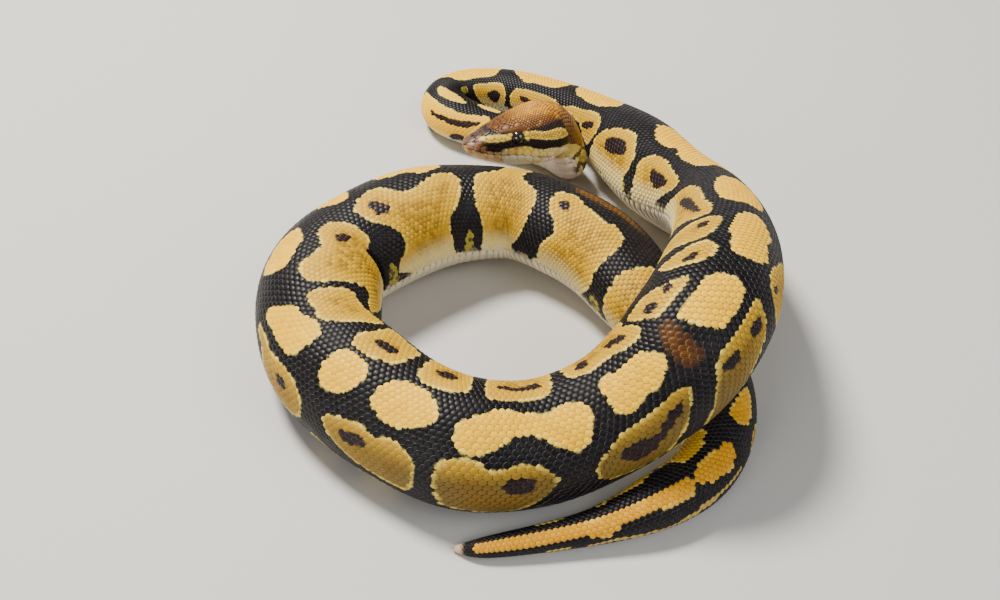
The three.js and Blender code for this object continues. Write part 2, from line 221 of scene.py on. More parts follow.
BACKBONE_S, BACKBONE = make_backbone()
TOTAL = BACKBONE_S[-1]


def rows_at(s):
    """Rows of the backbone at distances along."""
    t = np.clip(np.asarray(s, float), 0, TOTAL) / TOTAL * (len(BACKBONE_S) - 1)
    i = np.minimum(t.astype(int), len(BACKBONE_S) - 2)
    f = (t - i)[..., None]
    return BACKBONE[i] * (1 - f) + BACKBONE[i + 1] * f


def mean_radius(s):
    r = rows_at(s)
    return (r[..., HALF] * 2 + r[..., TOP] + r[..., UNDER]) / 4


def mm_per_degree(s):
    return math.radians(1) * mean_radius(s)


def outer_surface(s, angle):
    """Points of the body's outer surface, in millimetres; angles in degrees."""
    s, angle = np.broadcast_arrays(np.asarray(s, float), np.asarray(angle, float))
    r = rows_at(s)
    a = np.radians(angle)
    sine, cosine = np.sin(a), np.cos(a)
    n = np.where(cosine > 0, r[..., TOP_SQUARE], r[..., UNDER_SQUARE])
    high = np.where(cosine > 0, r[..., TOP], r[..., UNDER])
    reach = (np.abs(sine) ** n + np.abs(cosine) ** n) ** (-1 / n)
    offset = ((r[..., HALF] * reach * sine)[..., None] * r[..., SIDE]
              + (high * reach * cosine)[..., None] * r[..., UP])
    bend = np.linalg.norm(r[..., BEND], axis=-1) + 1e-9
    inward = r[..., BEND] / bend[..., None]
    limit = BEND_LIMIT / bend
    start = BEND_START * limit
    room = limit - start
    go = (offset * inward).sum(-1)
    pressed = np.where(go > start, start + room * np.tanh((go - start) / room), go)
    point = r[..., POINT] + offset + (pressed - go)[..., None] * inward
    point[..., 2] = np.maximum(point[..., 2], 0)
    return point


ALONG_STEP, ANGLE_STEP = 0.6, 1.5        # to each side of a place, for its normal


def outward_normal(s, angle):
    along = (outer_surface(np.minimum(s + ALONG_STEP, TOTAL), angle)
             - outer_surface(np.maximum(s - ALONG_STEP, 0), angle))
    around = outer_surface(s, angle + ANGLE_STEP) - outer_surface(s, angle - ANGLE_STEP)
    return normalised(np.cross(around, along))


def lifted(s, angle, lift):
    """Surface points moved out along the normal, but never below the floor."""
    point = outer_surface(s, angle) + outward_normal(s, angle) * np.asarray(lift)[..., None]
    point[..., 2] = np.maximum(point[..., 2], 0)
    return point


# ---- camera ----
CAMERA_TILT = math.radians(44)
CAMERA_DISTANCE = 0.450
LENS, SENSOR_WIDTH = 46.8, 36
NEAREST = 0.01


def make_camera():
    data = bpy.data.cameras.new("camera")
    data.lens = LENS
    data.sensor_width = SENSOR_WIDTH
    data.clip_start = NEAREST
    camera = bpy.data.objects.new("camera", data)
    bpy.context.scene.collection.objects.link(camera)
    target = Vector((-CENTRE[0] * MM, -CENTRE[1] * MM, 0))
    away = Vector((0, -math.cos(CAMERA_TILT), math.sin(CAMERA_TILT)))
    camera.location = target + away * CAMERA_DISTANCE
    camera.rotation_euler = (math.pi / 2 - CAMERA_TILT, 0, 0)
    bpy.context.scene.camera = camera


make_camera()


# ---- markings: outlines drawn on the unrolled skin as (along, angle) ----
def closed_curve(points, per_span=5):
    """A smooth closed curve through the points of an outline."""
    p = np.array(points, float)
    share = (np.arange(per_span) / per_span)[:, None]
    count = len(p)
    return np.concatenate([spline(p[k - 1], p[k], p[(k + 1) % count], p[(k + 2) % count], share)
                           for k in range(count)])


OVAL_POINTS = 10


def oval(along, angle, half_along, half_angle, wobble=0.0):
    """A rounded outline, uneven by wobble."""
    t = np.arange(OVAL_POINTS) * 2 * math.pi / OVAL_POINTS
    r = 1 + wobble * np.sin(3 * t + along) + 0.6 * wobble * np.cos(2 * t + 0.37 * along)
    return [(along + half_along * x, angle + half_angle * y) for x, y in zip(r * np.cos(t), r * np.sin(t))]


BACK_BLOTCHES = [
    [(122, -25), (122.5, 20), (123, 40), (126, 50), (133, 50), (138, 45), (142, 40), (143, 20),
     (141.5, -25)],
    [(148.5, -25), (149, 5), (151, 22), (154, 36), (157.5, 46), (160, 41), (164, 40), (169, 38), (172, 28),
     (173.5, 10), (172, -25)],
    [(177, -20), (177.5, 6), (179, 22), (182, 33), (188, 39), (195, 39), (198.5, 35), (201, 27),
     (202.5, 18), (200, 2), (195, -20)],
    [(223, 5), (224.5, 15), (229, 28), (234.5, 36), (241.5, 38), (246.5, 30), (251.5, 41), (259, 47),
     (265.5, 48), (267, 35), (265, 19), (265, -16), (227.5, -28)],
    [(277, 7), (277.5, 24), (279, 34), (283, 42), (290, 46), (296.5, 44), (300.5, 39), (302, 28),
     (300.5, 9), (299.5, -6), (292.5, -11), (282, -6)],
    [(307, 4), (310, 15), (316, 19), (323.5, 18), (327, 12), (332, 9), (333, -2), (332, -17), (329, -27),
     (324.5, -23), (320.5, -20), (315, -22), (310, -14), (307, -6)],
    [(339.5, -9), (340, 7), (342.5, 16), (348, 20), (352, 20), (353, 13), (352, -2), (350.5, -16),
     (344.5, -20), (340.5, -16)],
    [(360, -3), (362.5, 10), (367, 14), (372, 13), (378, 17), (382.5, 13), (382, -2), (382, -15),
     (377.5, -25), (371.5, -21), (366.5, -21), (363, -14)],
    [(389.5, -6), (391, 6), (396.5, 12), (406, 10), (420.5, 18), (424, 15), (429, 6), (430.5, -5),
     (429.5, -17), (426.5, -23), (422, -18), (418, -10), (413, -7), (407, -13), (403, -23), (398.5, -32),
     (394, -27), (391.5, -15)],
    [(435, 5), (438.5, 19), (445.5, 24), (451.5, 19), (454.5, 8), (454.5, -6), (451, -15), (444.5, -18),
     (439, -11), (435.5, -3)],
    [(460, 6), (462.5, 16), (468, 19), (471.5, 13), (473, 0), (472.5, -14), (469, -21), (464, -18),
     (461, -8)],
    [(481, 12), (486.5, 16), (490.5, 10), (495.5, 5), (497.5, -5), (500, -19), (499, -28), (494.5, -25),
     (487, -24), (483, -20), (481, -5)],
    [(510.5, -3), (513.5, 5), (519, 10), (523, 8), (526.5, -7), (524.5, -20), (520.5, -28), (515, -31),
     (513, -27), (511.5, -16)],
    [(535.5, -6), (538.5, 5), (542, 8), (545.5, -7), (547, -23), (544.5, -38), (536.5, -33)],
    [(555.5, -5), (559, 6), (563, 6), (565, 12), (567.5, 17), (572, 13), (575, 2), (573, -22), (559, -30)],
    oval(679.5, 2, 9, 17, 0.08),
    [(709, -25), (711, -8), (715.5, 6), (719, 13), (721, 6), (721.5, -7), (720.5, -25), (716.5, -32)],
    [(729.5, -18), (729.5, -2), (732, 7), (738, 10), (743, 9), (745, -2), (745, -15), (742.5, -26),
     (738.5, -35), (732.5, -35)],
]
REDDISH_BLOTCHES = [
    [(618.5, -6), (621, 7), (625, 10), (631, 8), (637, 1), (643, -7), (645.5, -17), (637.5, -18),
     (625.5, -12)],
    [(354, 21), (357, 20), (359, 1), (359, -21), (355.5, -21), (354.5, 1)],
]
TAIL_STRIPE = [
    (746, -8), (747, 2), (752, 6), (757.5, 5), (762, 2), (769, 6), (777, 1), (781, 9), (787, 8), (794, 8),
    (800, 10), (806, 8), (809.5, 8), (811.5, -15), (811, -42), (806.5, -43), (799, -48), (792, -48),
    (786, -42), (780, -44), (773.5, -60), (769, -36), (764, -28), (759, -30), (752.5, -31), (747.5, -28),
]

# each flank blotch with its dark spots
INNER_FLANK_BLOTCHES = [
    ([(132.5, 68), (132, 84), (133.5, 105), (136.5, 124), (143.5, 140), (147.5, 142), (149.5, 119),
      (150, 100), (149.5, 79), (147.5, 65), (143.5, 61), (139.5, 65)],
     [[(139.5, 100), (142, 112), (144, 118), (146.5, 108), (147, 90), (144.5, 83), (140.5, 88)]]),
    ([(153, 75), (153, 112), (158, 125), (170, 128), (180, 118), (188, 100), (187.5, 84), (181, 79),
      (178, 72), (175.5, 65), (171.5, 61), (158, 63)],
     [[(157.5, 82), (158, 94), (162, 95), (163, 84)]]),
    ([(180, 72), (183.5, 63), (190, 59), (195, 55), (201.5, 54), (206, 64), (207.5, 81), (206, 97),
      (203.5, 108), (197.5, 100), (194, 87), (187, 80)],
     [[(194.5, 84), (197.5, 90), (200.5, 85), (203.5, 76), (202.5, 70), (198.5, 73), (196, 78)]]),
    ([(208.5, 97), (209.5, 79), (213.5, 64), (217.5, 54), (222.5, 49), (226.5, 50), (231.5, 63), (236, 76),
      (237, 96), (236.5, 109), (236.5, 132), (209.5, 137)],
     [[(216, 77), (216.5, 89), (219.5, 92), (226.5, 87), (229.5, 78), (226.5, 67), (222.5, 66),
       (218.5, 70)]]),
    ([(241, 75), (242, 67), (246, 57), (252.5, 59), (260.5, 70), (267, 77), (271.5, 84), (271, 96),
      (264.5, 110), (260, 122), (257, 147), (246, 141), (243.5, 103), (242, 90)],
     [[(250.5, 77), (251.5, 88), (254.5, 97), (257.5, 102), (262, 99), (264, 91), (260.5, 84),
       (255.5, 81)]]),
    ([(278.5, 98), (280.5, 81), (285, 70), (292, 62), (300, 58), (305.5, 49), (311, 44), (314.5, 47),
      (316, 61), (314.5, 79), (313.5, 92), (312, 109), (300, 139), (279.5, 165), (261, 158), (266, 137),
      (273.5, 113)],
     [[(288, 91), (288.5, 96), (292.5, 94), (298.5, 86), (303, 79), (308.5, 68), (311.5, 59), (309.5, 58),
       (304.5, 65), (299, 71), (293.5, 78)]]),
    ([(316, 35), (318, 51), (320.5, 66), (323, 81), (325, 91), (333.5, 91), (332, 59), (331, 42),
      (327.5, 32), (319.5, 28)],
     [[(320, 41), (320.5, 48), (323, 50), (324, 44), (322, 39)]]),
    ([(331, 29), (333.5, 46), (338, 62), (341, 69), (342.5, 58), (341, 42), (337.5, 23), (333.5, 19)],
     [[(335.5, 32), (336.5, 39), (338.5, 44), (339.5, 40), (338, 33)]]),
    ([(343.5, 32), (346, 43), (349, 54), (351, 61), (354, 63), (358.5, 59), (360, 51), (357, 40), (355, 31),
      (349.5, 31), (345, 28)],
     [oval(348, 43, 1.6, 4), oval(354, 43, 1.8, 5.5)]),
    ([(359, 31), (359.5, 42), (362.5, 51), (362.5, 63), (368.5, 86), (385.5, 92), (391.5, 81), (393, 67),
      (392.5, 49), (390.5, 38), (384.5, 32), (374.5, 31), (367, 24), (362, 25)],
     [[(364.5, 36), (365.5, 42), (369, 47), (372.5, 47), (371, 40), (367, 35)], [(381.5, 44), (382.5, 54),
       (385.5, 58), (387.5, 53), (388, 46), (384.5, 42)]]),
    ([(398, 46), (397.5, 58), (398, 70), (405.5, 90), (418, 89), (422.5, 76), (424.5, 67), (425, 40),
      (422.5, 28), (405, 26), (400, 30)],
     [[(402.5, 42), (404, 49), (409.5, 47), (414.5, 46), (420, 51), (421.5, 45), (417, 41), (408.5, 40)]]),
    ([(429.5, 40), (431, 65), (432, 75), (434.5, 87), (445.5, 85), (450.5, 75), (449.5, 54), (448, 37),
      (444.5, 29), (437.5, 30), (432, 32)],
     [[(435, 50), (438, 57), (442, 57), (444.5, 50), (442, 46), (438, 46)]]),
    ([(454.5, 49), (455, 66), (458.5, 72), (468.5, 78), (471.5, 74), (471, 54), (472.5, 36), (471.5, 25),
      (467, 22), (459.5, 28), (456, 34)],
     [[(458.5, 44), (460.5, 50), (465, 48), (467.5, 43), (466, 37), (461.5, 39)]]),
    ([(475, 75), (483, 75), (490.5, 68), (498, 62), (499, 46), (499, 28), (497.5, 17), (491, 21),
      (486.5, 20), (481.5, 30), (477.5, 47), (475, 59)],
     []),
    ([(482.5, 78), (487.5, 81), (496.5, 101), (506, 115), (517, 120), (518.5, 104), (520.5, 93), (524, 79),
      (535, 66), (535.5, 50), (533.5, 37), (530, 25), (525, 21), (519.5, 28), (516, 31), (513, 24),
      (509, 14), (504, 18), (502, 28), (502, 48), (502.5, 66), (501, 81), (489.5, 78)],
     [[(520, 46), (522, 52), (528, 52), (527, 45), (523, 39)]]),
    ([(540, 40), (541.5, 50), (545, 62), (547, 69), (548.5, 83), (547.5, 93), (545.5, 97), (544, 100),
      (542, 114), (543.5, 115), (560.5, 146), (576, 146), (575.5, 132), (572.5, 121), (571, 107), (570, 91),
      (572, 77), (575.5, 65), (578, 50), (579, 34), (576, 23), (571.5, 23), (566, 33), (559.5, 39),
      (555, 28), (551.5, 16), (545, 17), (540, 28)],
     [[(544.5, 45), (545.5, 49), (549, 50), (550, 46), (548.5, 38), (546.5, 30), (544.5, 33)]]),
    ([(586, 88), (584, 70), (584, 44), (587, 23), (593, 14), (596, -4), (597.5, -16), (603, -12),
      (603.5, -6), (602.5, 10), (603.5, 24), (610.5, 37), (613, 53), (613, 81), (611, 102), (607.5, 117),
      (605.5, 142), (588, 136), (586.5, 104)],
     []),
    ([(617.5, 132), (621, 117), (621.5, 102), (623.5, 87), (625.5, 75), (622, 60), (618, 47), (617.5, 24),
      (623, 16), (627.5, 23), (637, 27), (640.5, 19), (647, 23), (649.5, 41), (650.5, 74), (652, 97),
      (649.5, 116), (647, 133), (638.5, 140), (625.5, 138)],
     [[(621, 34), (621.5, 42), (624, 45), (625, 38), (623.5, 32)]]),
    ([(661.5, 118), (659, 94), (658, 68), (657, 52), (658.5, 28), (660.5, 10), (667, 14), (678, 30),
      (679.5, 70), (678, 120), (670, 146)],
     []),
    (oval(698.5, 80, 10, 40, 0.07),
     [oval(700.5, 62, 3, 9)]),
    ([(733.5, 33), (733.5, 57), (737, 78), (745, 62), (745, 40), (741.5, 29)],
     []),
]
OUTER_FLANK_BLOTCHES = [
    ([(324, -40), (327, -36), (332, -35), (335.5, -42), (337.5, -56), (338, -74), (334.5, -88), (322, -84),
      (315.5, -65), (317.5, -46)],
     [oval(333.5, -48, 1.3, 4)]),
    ([(340.5, -30), (346, -28), (353, -29), (355.5, -35), (358.5, -52), (362, -73), (366.5, -96),
      (361, -104), (355.5, -93), (349.5, -73), (344, -62), (341, -44)],
     [oval(345, -44, 2.2, 7), oval(353.5, -43, 2.2, 6)]),
    ([(361.5, -36), (365.5, -32), (373, -35), (383, -35), (390, -43), (395, -54), (395.5, -72), (391.5, -84),
      (379.5, -95), (372.5, -79), (368, -66), (363.5, -48)],
     [[(365.5, -42), (372, -48), (375, -55), (381.5, -51), (387.5, -53), (387.5, -64), (382, -74),
       (376, -66), (370.5, -57), (366.5, -50)]]),
    ([(405.5, -52), (409.5, -37), (415.5, -31), (422, -36), (425.5, -27), (429, -26), (432, -33), (433, -52),
      (432, -72), (431, -84), (424, -94), (417.5, -95), (413.5, -84), (408, -67)],
     [[(411.5, -51), (414, -45), (418, -45), (420, -50), (418, -60), (414, -62)]]),
    ([(436.5, -50), (437.5, -37), (443, -28), (449, -33), (454, -30), (460, -34), (465, -42), (463.5, -55),
      (458.5, -66), (451, -76), (439.5, -78), (437, -66)],
     [[(450.5, -43), (453.5, -40), (458.5, -44), (459.5, -50), (456, -54), (452, -49)]]),
    ([(473.5, -50), (477, -37), (483, -32), (488.5, -36), (495.5, -36), (499.5, -42), (499, -46), (493, -52),
      (490, -70), (479.5, -78), (474, -66)],
     [oval(482.5, -48, 2.3, 5)]),
]
# flank blotches on the coil's far side: along, angle, half length, half height, spot
HIDDEN_FLANK_BLOTCHES = [
    (137, -84, 8, 32, True), (160, -82, 8, 34, True), (183, -84, 9, 32, True), (208, -82, 9, 33, False),
    (232, -84, 10, 32, True), (258, -82, 10, 34, True), (283, -78, 9, 30, True), (304, -80, 7, 30, False),
    (514, -80, 9, 34, True), (536, -76, 9, 34, True), (562, -80, 9, 32, False), (584, -74, 9, 34, True),
    (606, -80, 9, 32, True), (629, -82, 9, 32, False), (653, -76, 9, 34, True), (676, -78, 8, 32, True),
    (698, -80, 7, 30, False), (720, -78, 5, 26, False),
]
LOW_OUTER_PATCHES = [
    oval(374, -104, 5, 10, 0.1),
    oval(400.5, -115, 5, 12, 0.1),
    oval(450, -105, 6, 14, 0.1),
    oval(468, -95, 5, 14, 0.1),
    [(729, 42), (733, 36), (738, 34), (742, 46), (747.5, 57), (751, 68), (752, 80), (748, 96), (738, 100),
     (731, 92), (729, 70)],
    [(754, 62), (757, 50), (761, 51), (766, 54), (771, 52), (776, 49), (776.5, 54), (772, 63), (768, 73),
     (762, 84), (755, 88), (752.5, 76)],
    [(775, 50), (784, 52), (792, 51), (800, 49), (808, 49), (808, 54), (800, 55), (792, 57), (784, 58),
     (775, 56)],
]
GREEN_PATCHES = [
    [(116.5, 85), (120, 92), (126, 90), (128, 80), (127, 72), (121, 70), (117, 75)],
    oval(580, 121, 2.2, 26, 0.1),
    oval(655.5, 115, 2.4, 13, 0.1),
    oval(540, 116, 2.4, 16, 0.15),
    oval(237.5, 123, 2.2, 12, 0.1),
]
TAIL_SIDE_LINE = [
    (731.5, -58), (744, -61), (751, -75), (759, -84), (765.5, -82), (771.5, -77), (777.5, -84), (788, -88),
    (791, -101), (777.5, -95), (771.5, -92), (765.5, -98), (758.5, -96), (750.5, -91), (743.5, -75),
    (733.5, -66),
]
NECK_GOLD = [
    [(88.7, -29), (94, -36), (99.3, -38.7), (104.7, -30.7), (110, -20), (115.3, -22.7), (116, -50),
     (114, -90), (108, -128), (92, -128), (86, -100), (84, -60)],
    [(100, -6), (103, 10), (107, 22), (113, 24), (115, 12), (112, 0), (106, -7)],
    [(86, 2), (87, 20), (92, 22), (96, 12), (94, 0), (89, -2)],
    [(52, 60), (60, 50), (70, 46), (80, 50), (86, 62), (82, 96), (70, 110), (56, 104)],
    [(54, -60), (62, -48), (72, -46), (82, -52), (84, -80), (78, -108), (62, -110), (54, -90)],
    [(96, 78), (104, 74), (112, 84), (110, 112), (100, 118), (94, 100)],
]
NECK_DARK = [
    [(91, -50), (96, -57), (101, -58), (106, -53), (108.5, -48), (108, -58), (104, -68), (99, -78),
     (95, -74), (92, -62)],
    [(96, -101), (99, -100), (101, -110), (101, -137), (97, -137), (95, -115)],
]


def linear(*rgb):
    """An sRGB colour, each part from 0 to 255, in linear light."""
    c = np.asarray(rgb, float) / 255
    return np.where(c <= 0.04045, c / 12.92, ((c + 0.055) / 1.055) ** 2.4)


# colours of the body
INK = linear(18, 15, 17)
INK_DEEP = linear(9, 7, 9)
SPOT = linear(34, 18, 18)
GOLD_BACK = linear(255, 196, 0)
GOLD_DEEP = linear(224, 158, 6)
GOLD_TAIL = linear(212, 146, 14)
GOLD_FLANK = linear(208, 160, 26)
GOLD_LINE = linear(200, 168, 84)
FLANK_BROWN = linear(126, 86, 10)
# olive brown painted shade for the blotches low on the coil's outer flank
FLANK_SHADE_OLIVE = linear(116, 92, 36)
GOLD_PALE = linear(250, 220, 96)
CREAM = linear(240, 222, 150)
REDDISH = linear(120, 66, 12)
GREENISH = linear(166, 154, 54)
BELLY = linear(234, 222, 192)
TIP_PINK = linear(226, 190, 160)
# pale grey painted highlight along the rear rims of the dark scales
DARK_SCALE_HIGHLIGHT = linear(120, 114, 122)
RIM_WIDTH = 0.7                            # of the paler edge of a golden blotch, in millimetres
TIP_LENGTH = 4                             # of the pale end of the tail
FAR_OUTSIDE = -99.0                        # depth given to places well outside an outline
OUTLINE_REACH = 5.0                        # distance from an outline to which depths are worked out


def inside_depth(s, angle, outline):
    """Depth in millimetres inside a smooth outline, minus outside it."""
    curve = closed_curve(outline)
    scale = float(mm_per_degree(curve[:, 0].mean()))
    reach = np.array([OUTLINE_REACH, OUTLINE_REACH / scale])
    (low_s, low_angle), (high_s, high_angle) = curve.min(0) - reach, curve.max(0) + reach
    near = (s > low_s) & (s < high_s) & (angle > low_angle) & (angle < high_angle)
    depth = np.full(s.shape, FAR_OUTSIDE)
    if not near.any():
        return depth
    x, y = s[near], angle[near] * scale
    corners = curve * (1, scale)
    nearest = np.full(len(x), 1e9)
    crossings = np.zeros(len(x), int)
    for (ax, ay), (bx, by) in zip(corners, np.roll(corners, -1, axis=0)):
        dx, dy = bx - ax, by - ay
        t = np.clip(((x - ax) * dx + (y - ay) * dy) / (dx * dx + dy * dy + 1e-12), 0, 1)
        nearest = np.minimum(nearest, (x - ax - t * dx) ** 2 + (y - ay - t * dy) ** 2)
        if ay != by:
            crossings += ((ay > y) != (by > y)) & (x < ax + (y - ay) * dx / dy)
    depth[near] = np.sqrt(nearest) * np.where(crossings % 2 == 1, 1, -1)
    return depth


def deepest(s, angle, outlines):
    return np.maximum.reduce([inside_depth(s, angle, outline) for outline in outlines])


FLANK_BLOTCHES = INNER_FLANK_BLOTCHES + OUTER_FLANK_BLOTCHES
HIDDEN_BLOTCHES = [oval(*place, 0.09) for *place, _ in HIDDEN_FLANK_BLOTCHES]
HIDDEN_SPOTS = [oval(along + 2, angle + 10, 2.6, 7, 0.05)
                for along, angle, _, _, spot in HIDDEN_FLANK_BLOTCHES if spot]
BODY_OUTLINES = {
    "back": BACK_BLOTCHES + [TAIL_STRIPE],
    "flank": [outline for outline, _ in FLANK_BLOTCHES] + HIDDEN_BLOTCHES + LOW_OUTER_PATCHES,
    "neck": NECK_GOLD,
    "spot": [spot for _, spots in FLANK_BLOTCHES for spot in spots] + HIDDEN_SPOTS + NECK_DARK,
    "red": REDDISH_BLOTCHES,
    "green": GREEN_PATCHES,
    "line": [TAIL_SIDE_LINE],
}
TAIL_COLOURS = 700                         # where the tail's duller gold begins
TAIL_RIMS = 715                            # and where its blotches lose their pale rims


def mixed(a, b, share):
    return a + (b - a) * np.clip(share, 0, 1)[..., None]


def varied(colour, chance, least, spread):
    """A colour made darker or lighter by chance."""
    return colour * (least + spread * chance)[..., None]


def outer_flank_shade(s, angle):
    """How far the blotches low on the outer flank turn from gold to a darker olive brown, painted shade where
    that flank faces down and outwards.
    """
    return rise(-angle, 24, 30) * rise(s, 330, 30) * (1 - 0.45 * rise(s, 430, 40))


def markings(s, angle, chance):
    """Colour of each place on the body, in linear light. Chance is a number from 0 to 1 for each place."""
    d = {name: deepest(s, angle, outlines) for name, outlines in BODY_OUTLINES.items()}
    low = np.abs(angle)
    gold = np.maximum(np.maximum(d["back"], d["flank"]), d["neck"])

    back = mixed(GOLD_BACK, GOLD_DEEP, (chance > 0.78) * 0.55 * rise(d["back"], 1, 3))
    back = mixed(back, GOLD_TAIL, 0.8 * rise(s, TAIL_COLOURS, 25))
    back = mixed(GOLD_PALE, back, d["back"] / RIM_WIDTH + 0.5 * rise(s, TAIL_RIMS, 15))
    back = varied(back, chance, 0.90, 0.2)

    speckle = rise(d["flank"], 2.6, 4) * fall(low, 122, 18)
    speckle *= np.where(chance > 0.58, 0.62, np.where(chance > 0.3, 0.35, 0.1))
    # low on the outer flank the gold is painted darker olive, as shade
    flank = mixed(GOLD_FLANK, FLANK_SHADE_OLIVE, outer_flank_shade(s, angle))
    flank = mixed(flank, FLANK_BROWN, speckle)
    flank = mixed(GOLD_PALE, flank, d["flank"] / (RIM_WIDTH * 1.4))
    flank = mixed(flank, CREAM, rise(low, 92, 28) * 0.92)

    neck = mixed(GOLD_PALE, GOLD_BACK, d["neck"] / RIM_WIDTH)
    neck = mixed(neck, CREAM, rise(low, 95, 30) * 0.8)
    green = mixed(INK, GREENISH, 0.25 + 0.75 * (chance > 0.4))
    red = mixed(INK, REDDISH, 0.25 + 0.6 * chance * smooth01(d["red"] / 3))

    # dark ground, deepest along the golden blotches, and each marking over the ones before
    colour = varied(INK, chance, 0.75, 0.6)
    colour = mixed(colour, INK_DEEP, ((gold > -2.0) & (gold < 0)) * 0.75)
    layers = {"green": green, "red": red, "flank": flank, "neck": neck, "back": back, "line": GOLD_LINE,
              "spot": varied(SPOT, chance, 0.7, 0.6)}
    for name, shade in layers.items():
        colour = np.where((d[name] > 0)[..., None], shade, colour)

    # the dark bars break up towards the pale belly
    belly = rise(low, 122 + 10 * (chance - 0.5), 8)
    belly *= np.where((gold > 0) | (chance > 0.25), 1.0, 0.25)
    colour = mixed(colour, BELLY, belly)
    return mixed(colour, TIP_PINK, rise(s, TOTAL - TIP_LENGTH, 2))


# ---- head markings, the same on both sides ----
# edges as (along, angle), the nape's and the khaki's as (angle, along)
CROWN_EDGE = [
    (9.4, 0), (10.2, 18), (10.7, 34), (11.6, 41), (13, 46), (15, 50.5), (17, 54), (19, 55.5), (21, 54.5),
    (24, 54), (26, 53), (28, 51), (30, 49), (32, 46), (34, 42),
]
LIP_EDGE = [
    (0, 82), (4, 84), (6, 90), (6.6, 101), (9, 103), (11.5, 101), (13, 95), (14, 91), (15.5, 89), (17, 88),
    (18.5, 86.5), (19.5, 86), (21, 86.5), (22.5, 89), (24, 92), (26, 94), (27, 93.5), (28.5, 91), (31, 90),
    (34, 91), (36, 92), (37, 90), (38, 86), (39.5, 80),
]
CHEEK_STRIPES = [
    [(6, 33), (7, 36), (8, 40), (9, 43.5), (10.5, 46), (11.5, 50), (13.5, 53.5), (15.5, 56), (16.4, 60),
     (16, 65), (15, 68), (13, 68), (11, 66.5), (9, 65), (7.6, 62), (6.4, 55.5), (5.6, 47)],
    [(19.8, 57), (21, 57), (23, 58.5), (25, 60.5), (27, 62), (29, 61.5), (31, 59.5), (33, 57.5), (35, 58.5),
     (36, 61), (36.8, 65), (36.2, 69), (35.5, 71.5), (34, 73.5), (32, 75), (30, 75.5), (28, 75), (26, 74),
     (24, 72.5), (22, 71), (20.2, 70)],
]
NAPE_EDGE = [
    (0, 34.6), (30, 34.2), (45, 34.2), (56, 35.6), (62, 37.0), (75, 37.4), (82, 38.4), (90, 40),
]
KHAKI_EDGE = [
    (0, 45), (30, 44.2), (40, 43.4), (50, 42.7), (60, 41.8), (65, 41.1), (70, 40.7), (75, 40.3), (80, 39.6),
    (85, 38.3), (90, 36.5), (180, 36.5),
]

# colours of the head and throat
HEAD_DARK = linear(28, 16, 10)
CROWN_BROWN = linear(102, 58, 4)
CROWN_BACK_AND_HIGHLIGHT = linear(196, 134, 28)
CROWN_LIGHT_FLECK = linear(216, 160, 76)
CROWN_DARK_FLECK = linear(104, 60, 20)
CROWN_RIM = linear(74, 42, 14)
STRIPE_YELLOW = linear(222, 186, 70)
STRIPE_RUST = linear(190, 128, 30)
NAPE_BROWN = linear(122, 82, 36)
NAPE_TAN = linear(168, 124, 50)
NAPE_DARK = linear(84, 54, 34)
LIP_CREAM = linear(250, 232, 190)
# painted shade for the slit of the mouth
MOUTH_SLIT_SHADE = linear(40, 24, 20)
KHAKI = linear(204, 178, 84)
KHAKI_LINE = linear(34, 22, 16)
THROAT_SIDE = linear(226, 204, 136)
THROAT_ROSE = linear(244, 224, 210)
THROAT_OLIVE = linear(150, 128, 54)
# painted shade for the side of the neck behind the throat
THROAT_SHADE_BROWN = linear(66, 42, 24)
THROAT_BACK = linear(74, 46, 26)
THROAT_DARK = linear(26, 20, 16)
# soft patches: from and to along, from and to in angle, colour, strength
SNOUT_PATCHES = [
    (-2, 1.6, -20, 60, (124, 94, 68), 1.0), (1.6, 3.8, -20, 48, (100, 77, 60), 1.0),
    (3.8, 6.2, -20, 34, (70, 48, 38), 1.0), (6.0, 7.8, -20, 36, (94, 68, 52), 1.0),
    # the pale pink patch from 1 to 3.4 along and 36 to 90 degrees is the snout's pale front with a painted
    # highlight on it
    (7.6, 10.2, -20, 40, (44, 32, 28), 1.0), (1.0, 3.4, 36, 90, (178, 144, 122), 1.0),
    (3.2, 6.0, 28, 62, (158, 118, 104), 1.0), (3.2, 6.6, 60, 122, (142, 98, 60), 1.0),
    (-2, 1.3, 60, 185, (234, 186, 122), 1.0), (0.9, 2.3, 78, 135, (158, 84, 40), 0.8),
    (5.2, 6.8, 56, 76, (44, 24, 19), 0.8), (1.8, 14, 112, 185, (236, 202, 148), 1.0),
]
LIP_PATCHES = [
    (6.3, 14, 102, 118, (236, 192, 130), 1.0), (6.2, 13.2, 80, 102, (96, 60, 44), 0.9),
    (14, 17.8, 88, 107, (216, 180, 84), 1.0), (17.8, 23.6, 82, 106, (244, 212, 96), 1.0),
    (23.4, 30, 88, 112, (246, 220, 134), 1.0), (29.5, 42, 86, 114, (246, 220, 158), 1.0),
    (13.5, 19.5, 110, 185, (244, 230, 198), 1.0), (19, 24.2, 112, 185, (246, 232, 188), 1.0),
    (24, 27, 120, 185, (240, 222, 140), 1.0), (26.8, 33, 116, 185, (252, 232, 220), 1.0),
    (32.5, 42, 112, 185, (248, 224, 190), 1.0), (17.3, 18.0, 92, 107, (140, 92, 46), 0.9),
    (6.5, 7.7, 121, 130, (150, 104, 66), 0.8), (10.0, 11.1, 113, 121, (140, 96, 60), 0.8),
    (11.8, 12.8, 122, 131, (160, 116, 76), 0.7), (12.8, 13.6, 107, 112, (140, 96, 60), 0.7),
    (24.8, 29.8, 112.5, 116.5, (130, 90, 46), 0.9),
]
PATCH_SOFTNESS, PATCH_ANGLE_SOFTNESS = 0.5, 4


def soft_patch(s, low, from_s, to_s, from_angle, to_angle):
    """1 inside a box of the unrolled head, 0 outside, soft over half a millimetre and a few degrees."""
    steps = ((s - from_s) / PATCH_SOFTNESS, (to_s - s) / PATCH_SOFTNESS,
             (low - from_angle) / PATCH_ANGLE_SOFTNESS, (to_angle - low) / PATCH_ANGLE_SOFTNESS)
    return math.prod(smooth01(step + 0.5) for step in steps)


def follow(points, at):
    return np.interp(at, [p[0] for p in points], [p[1] for p in points])


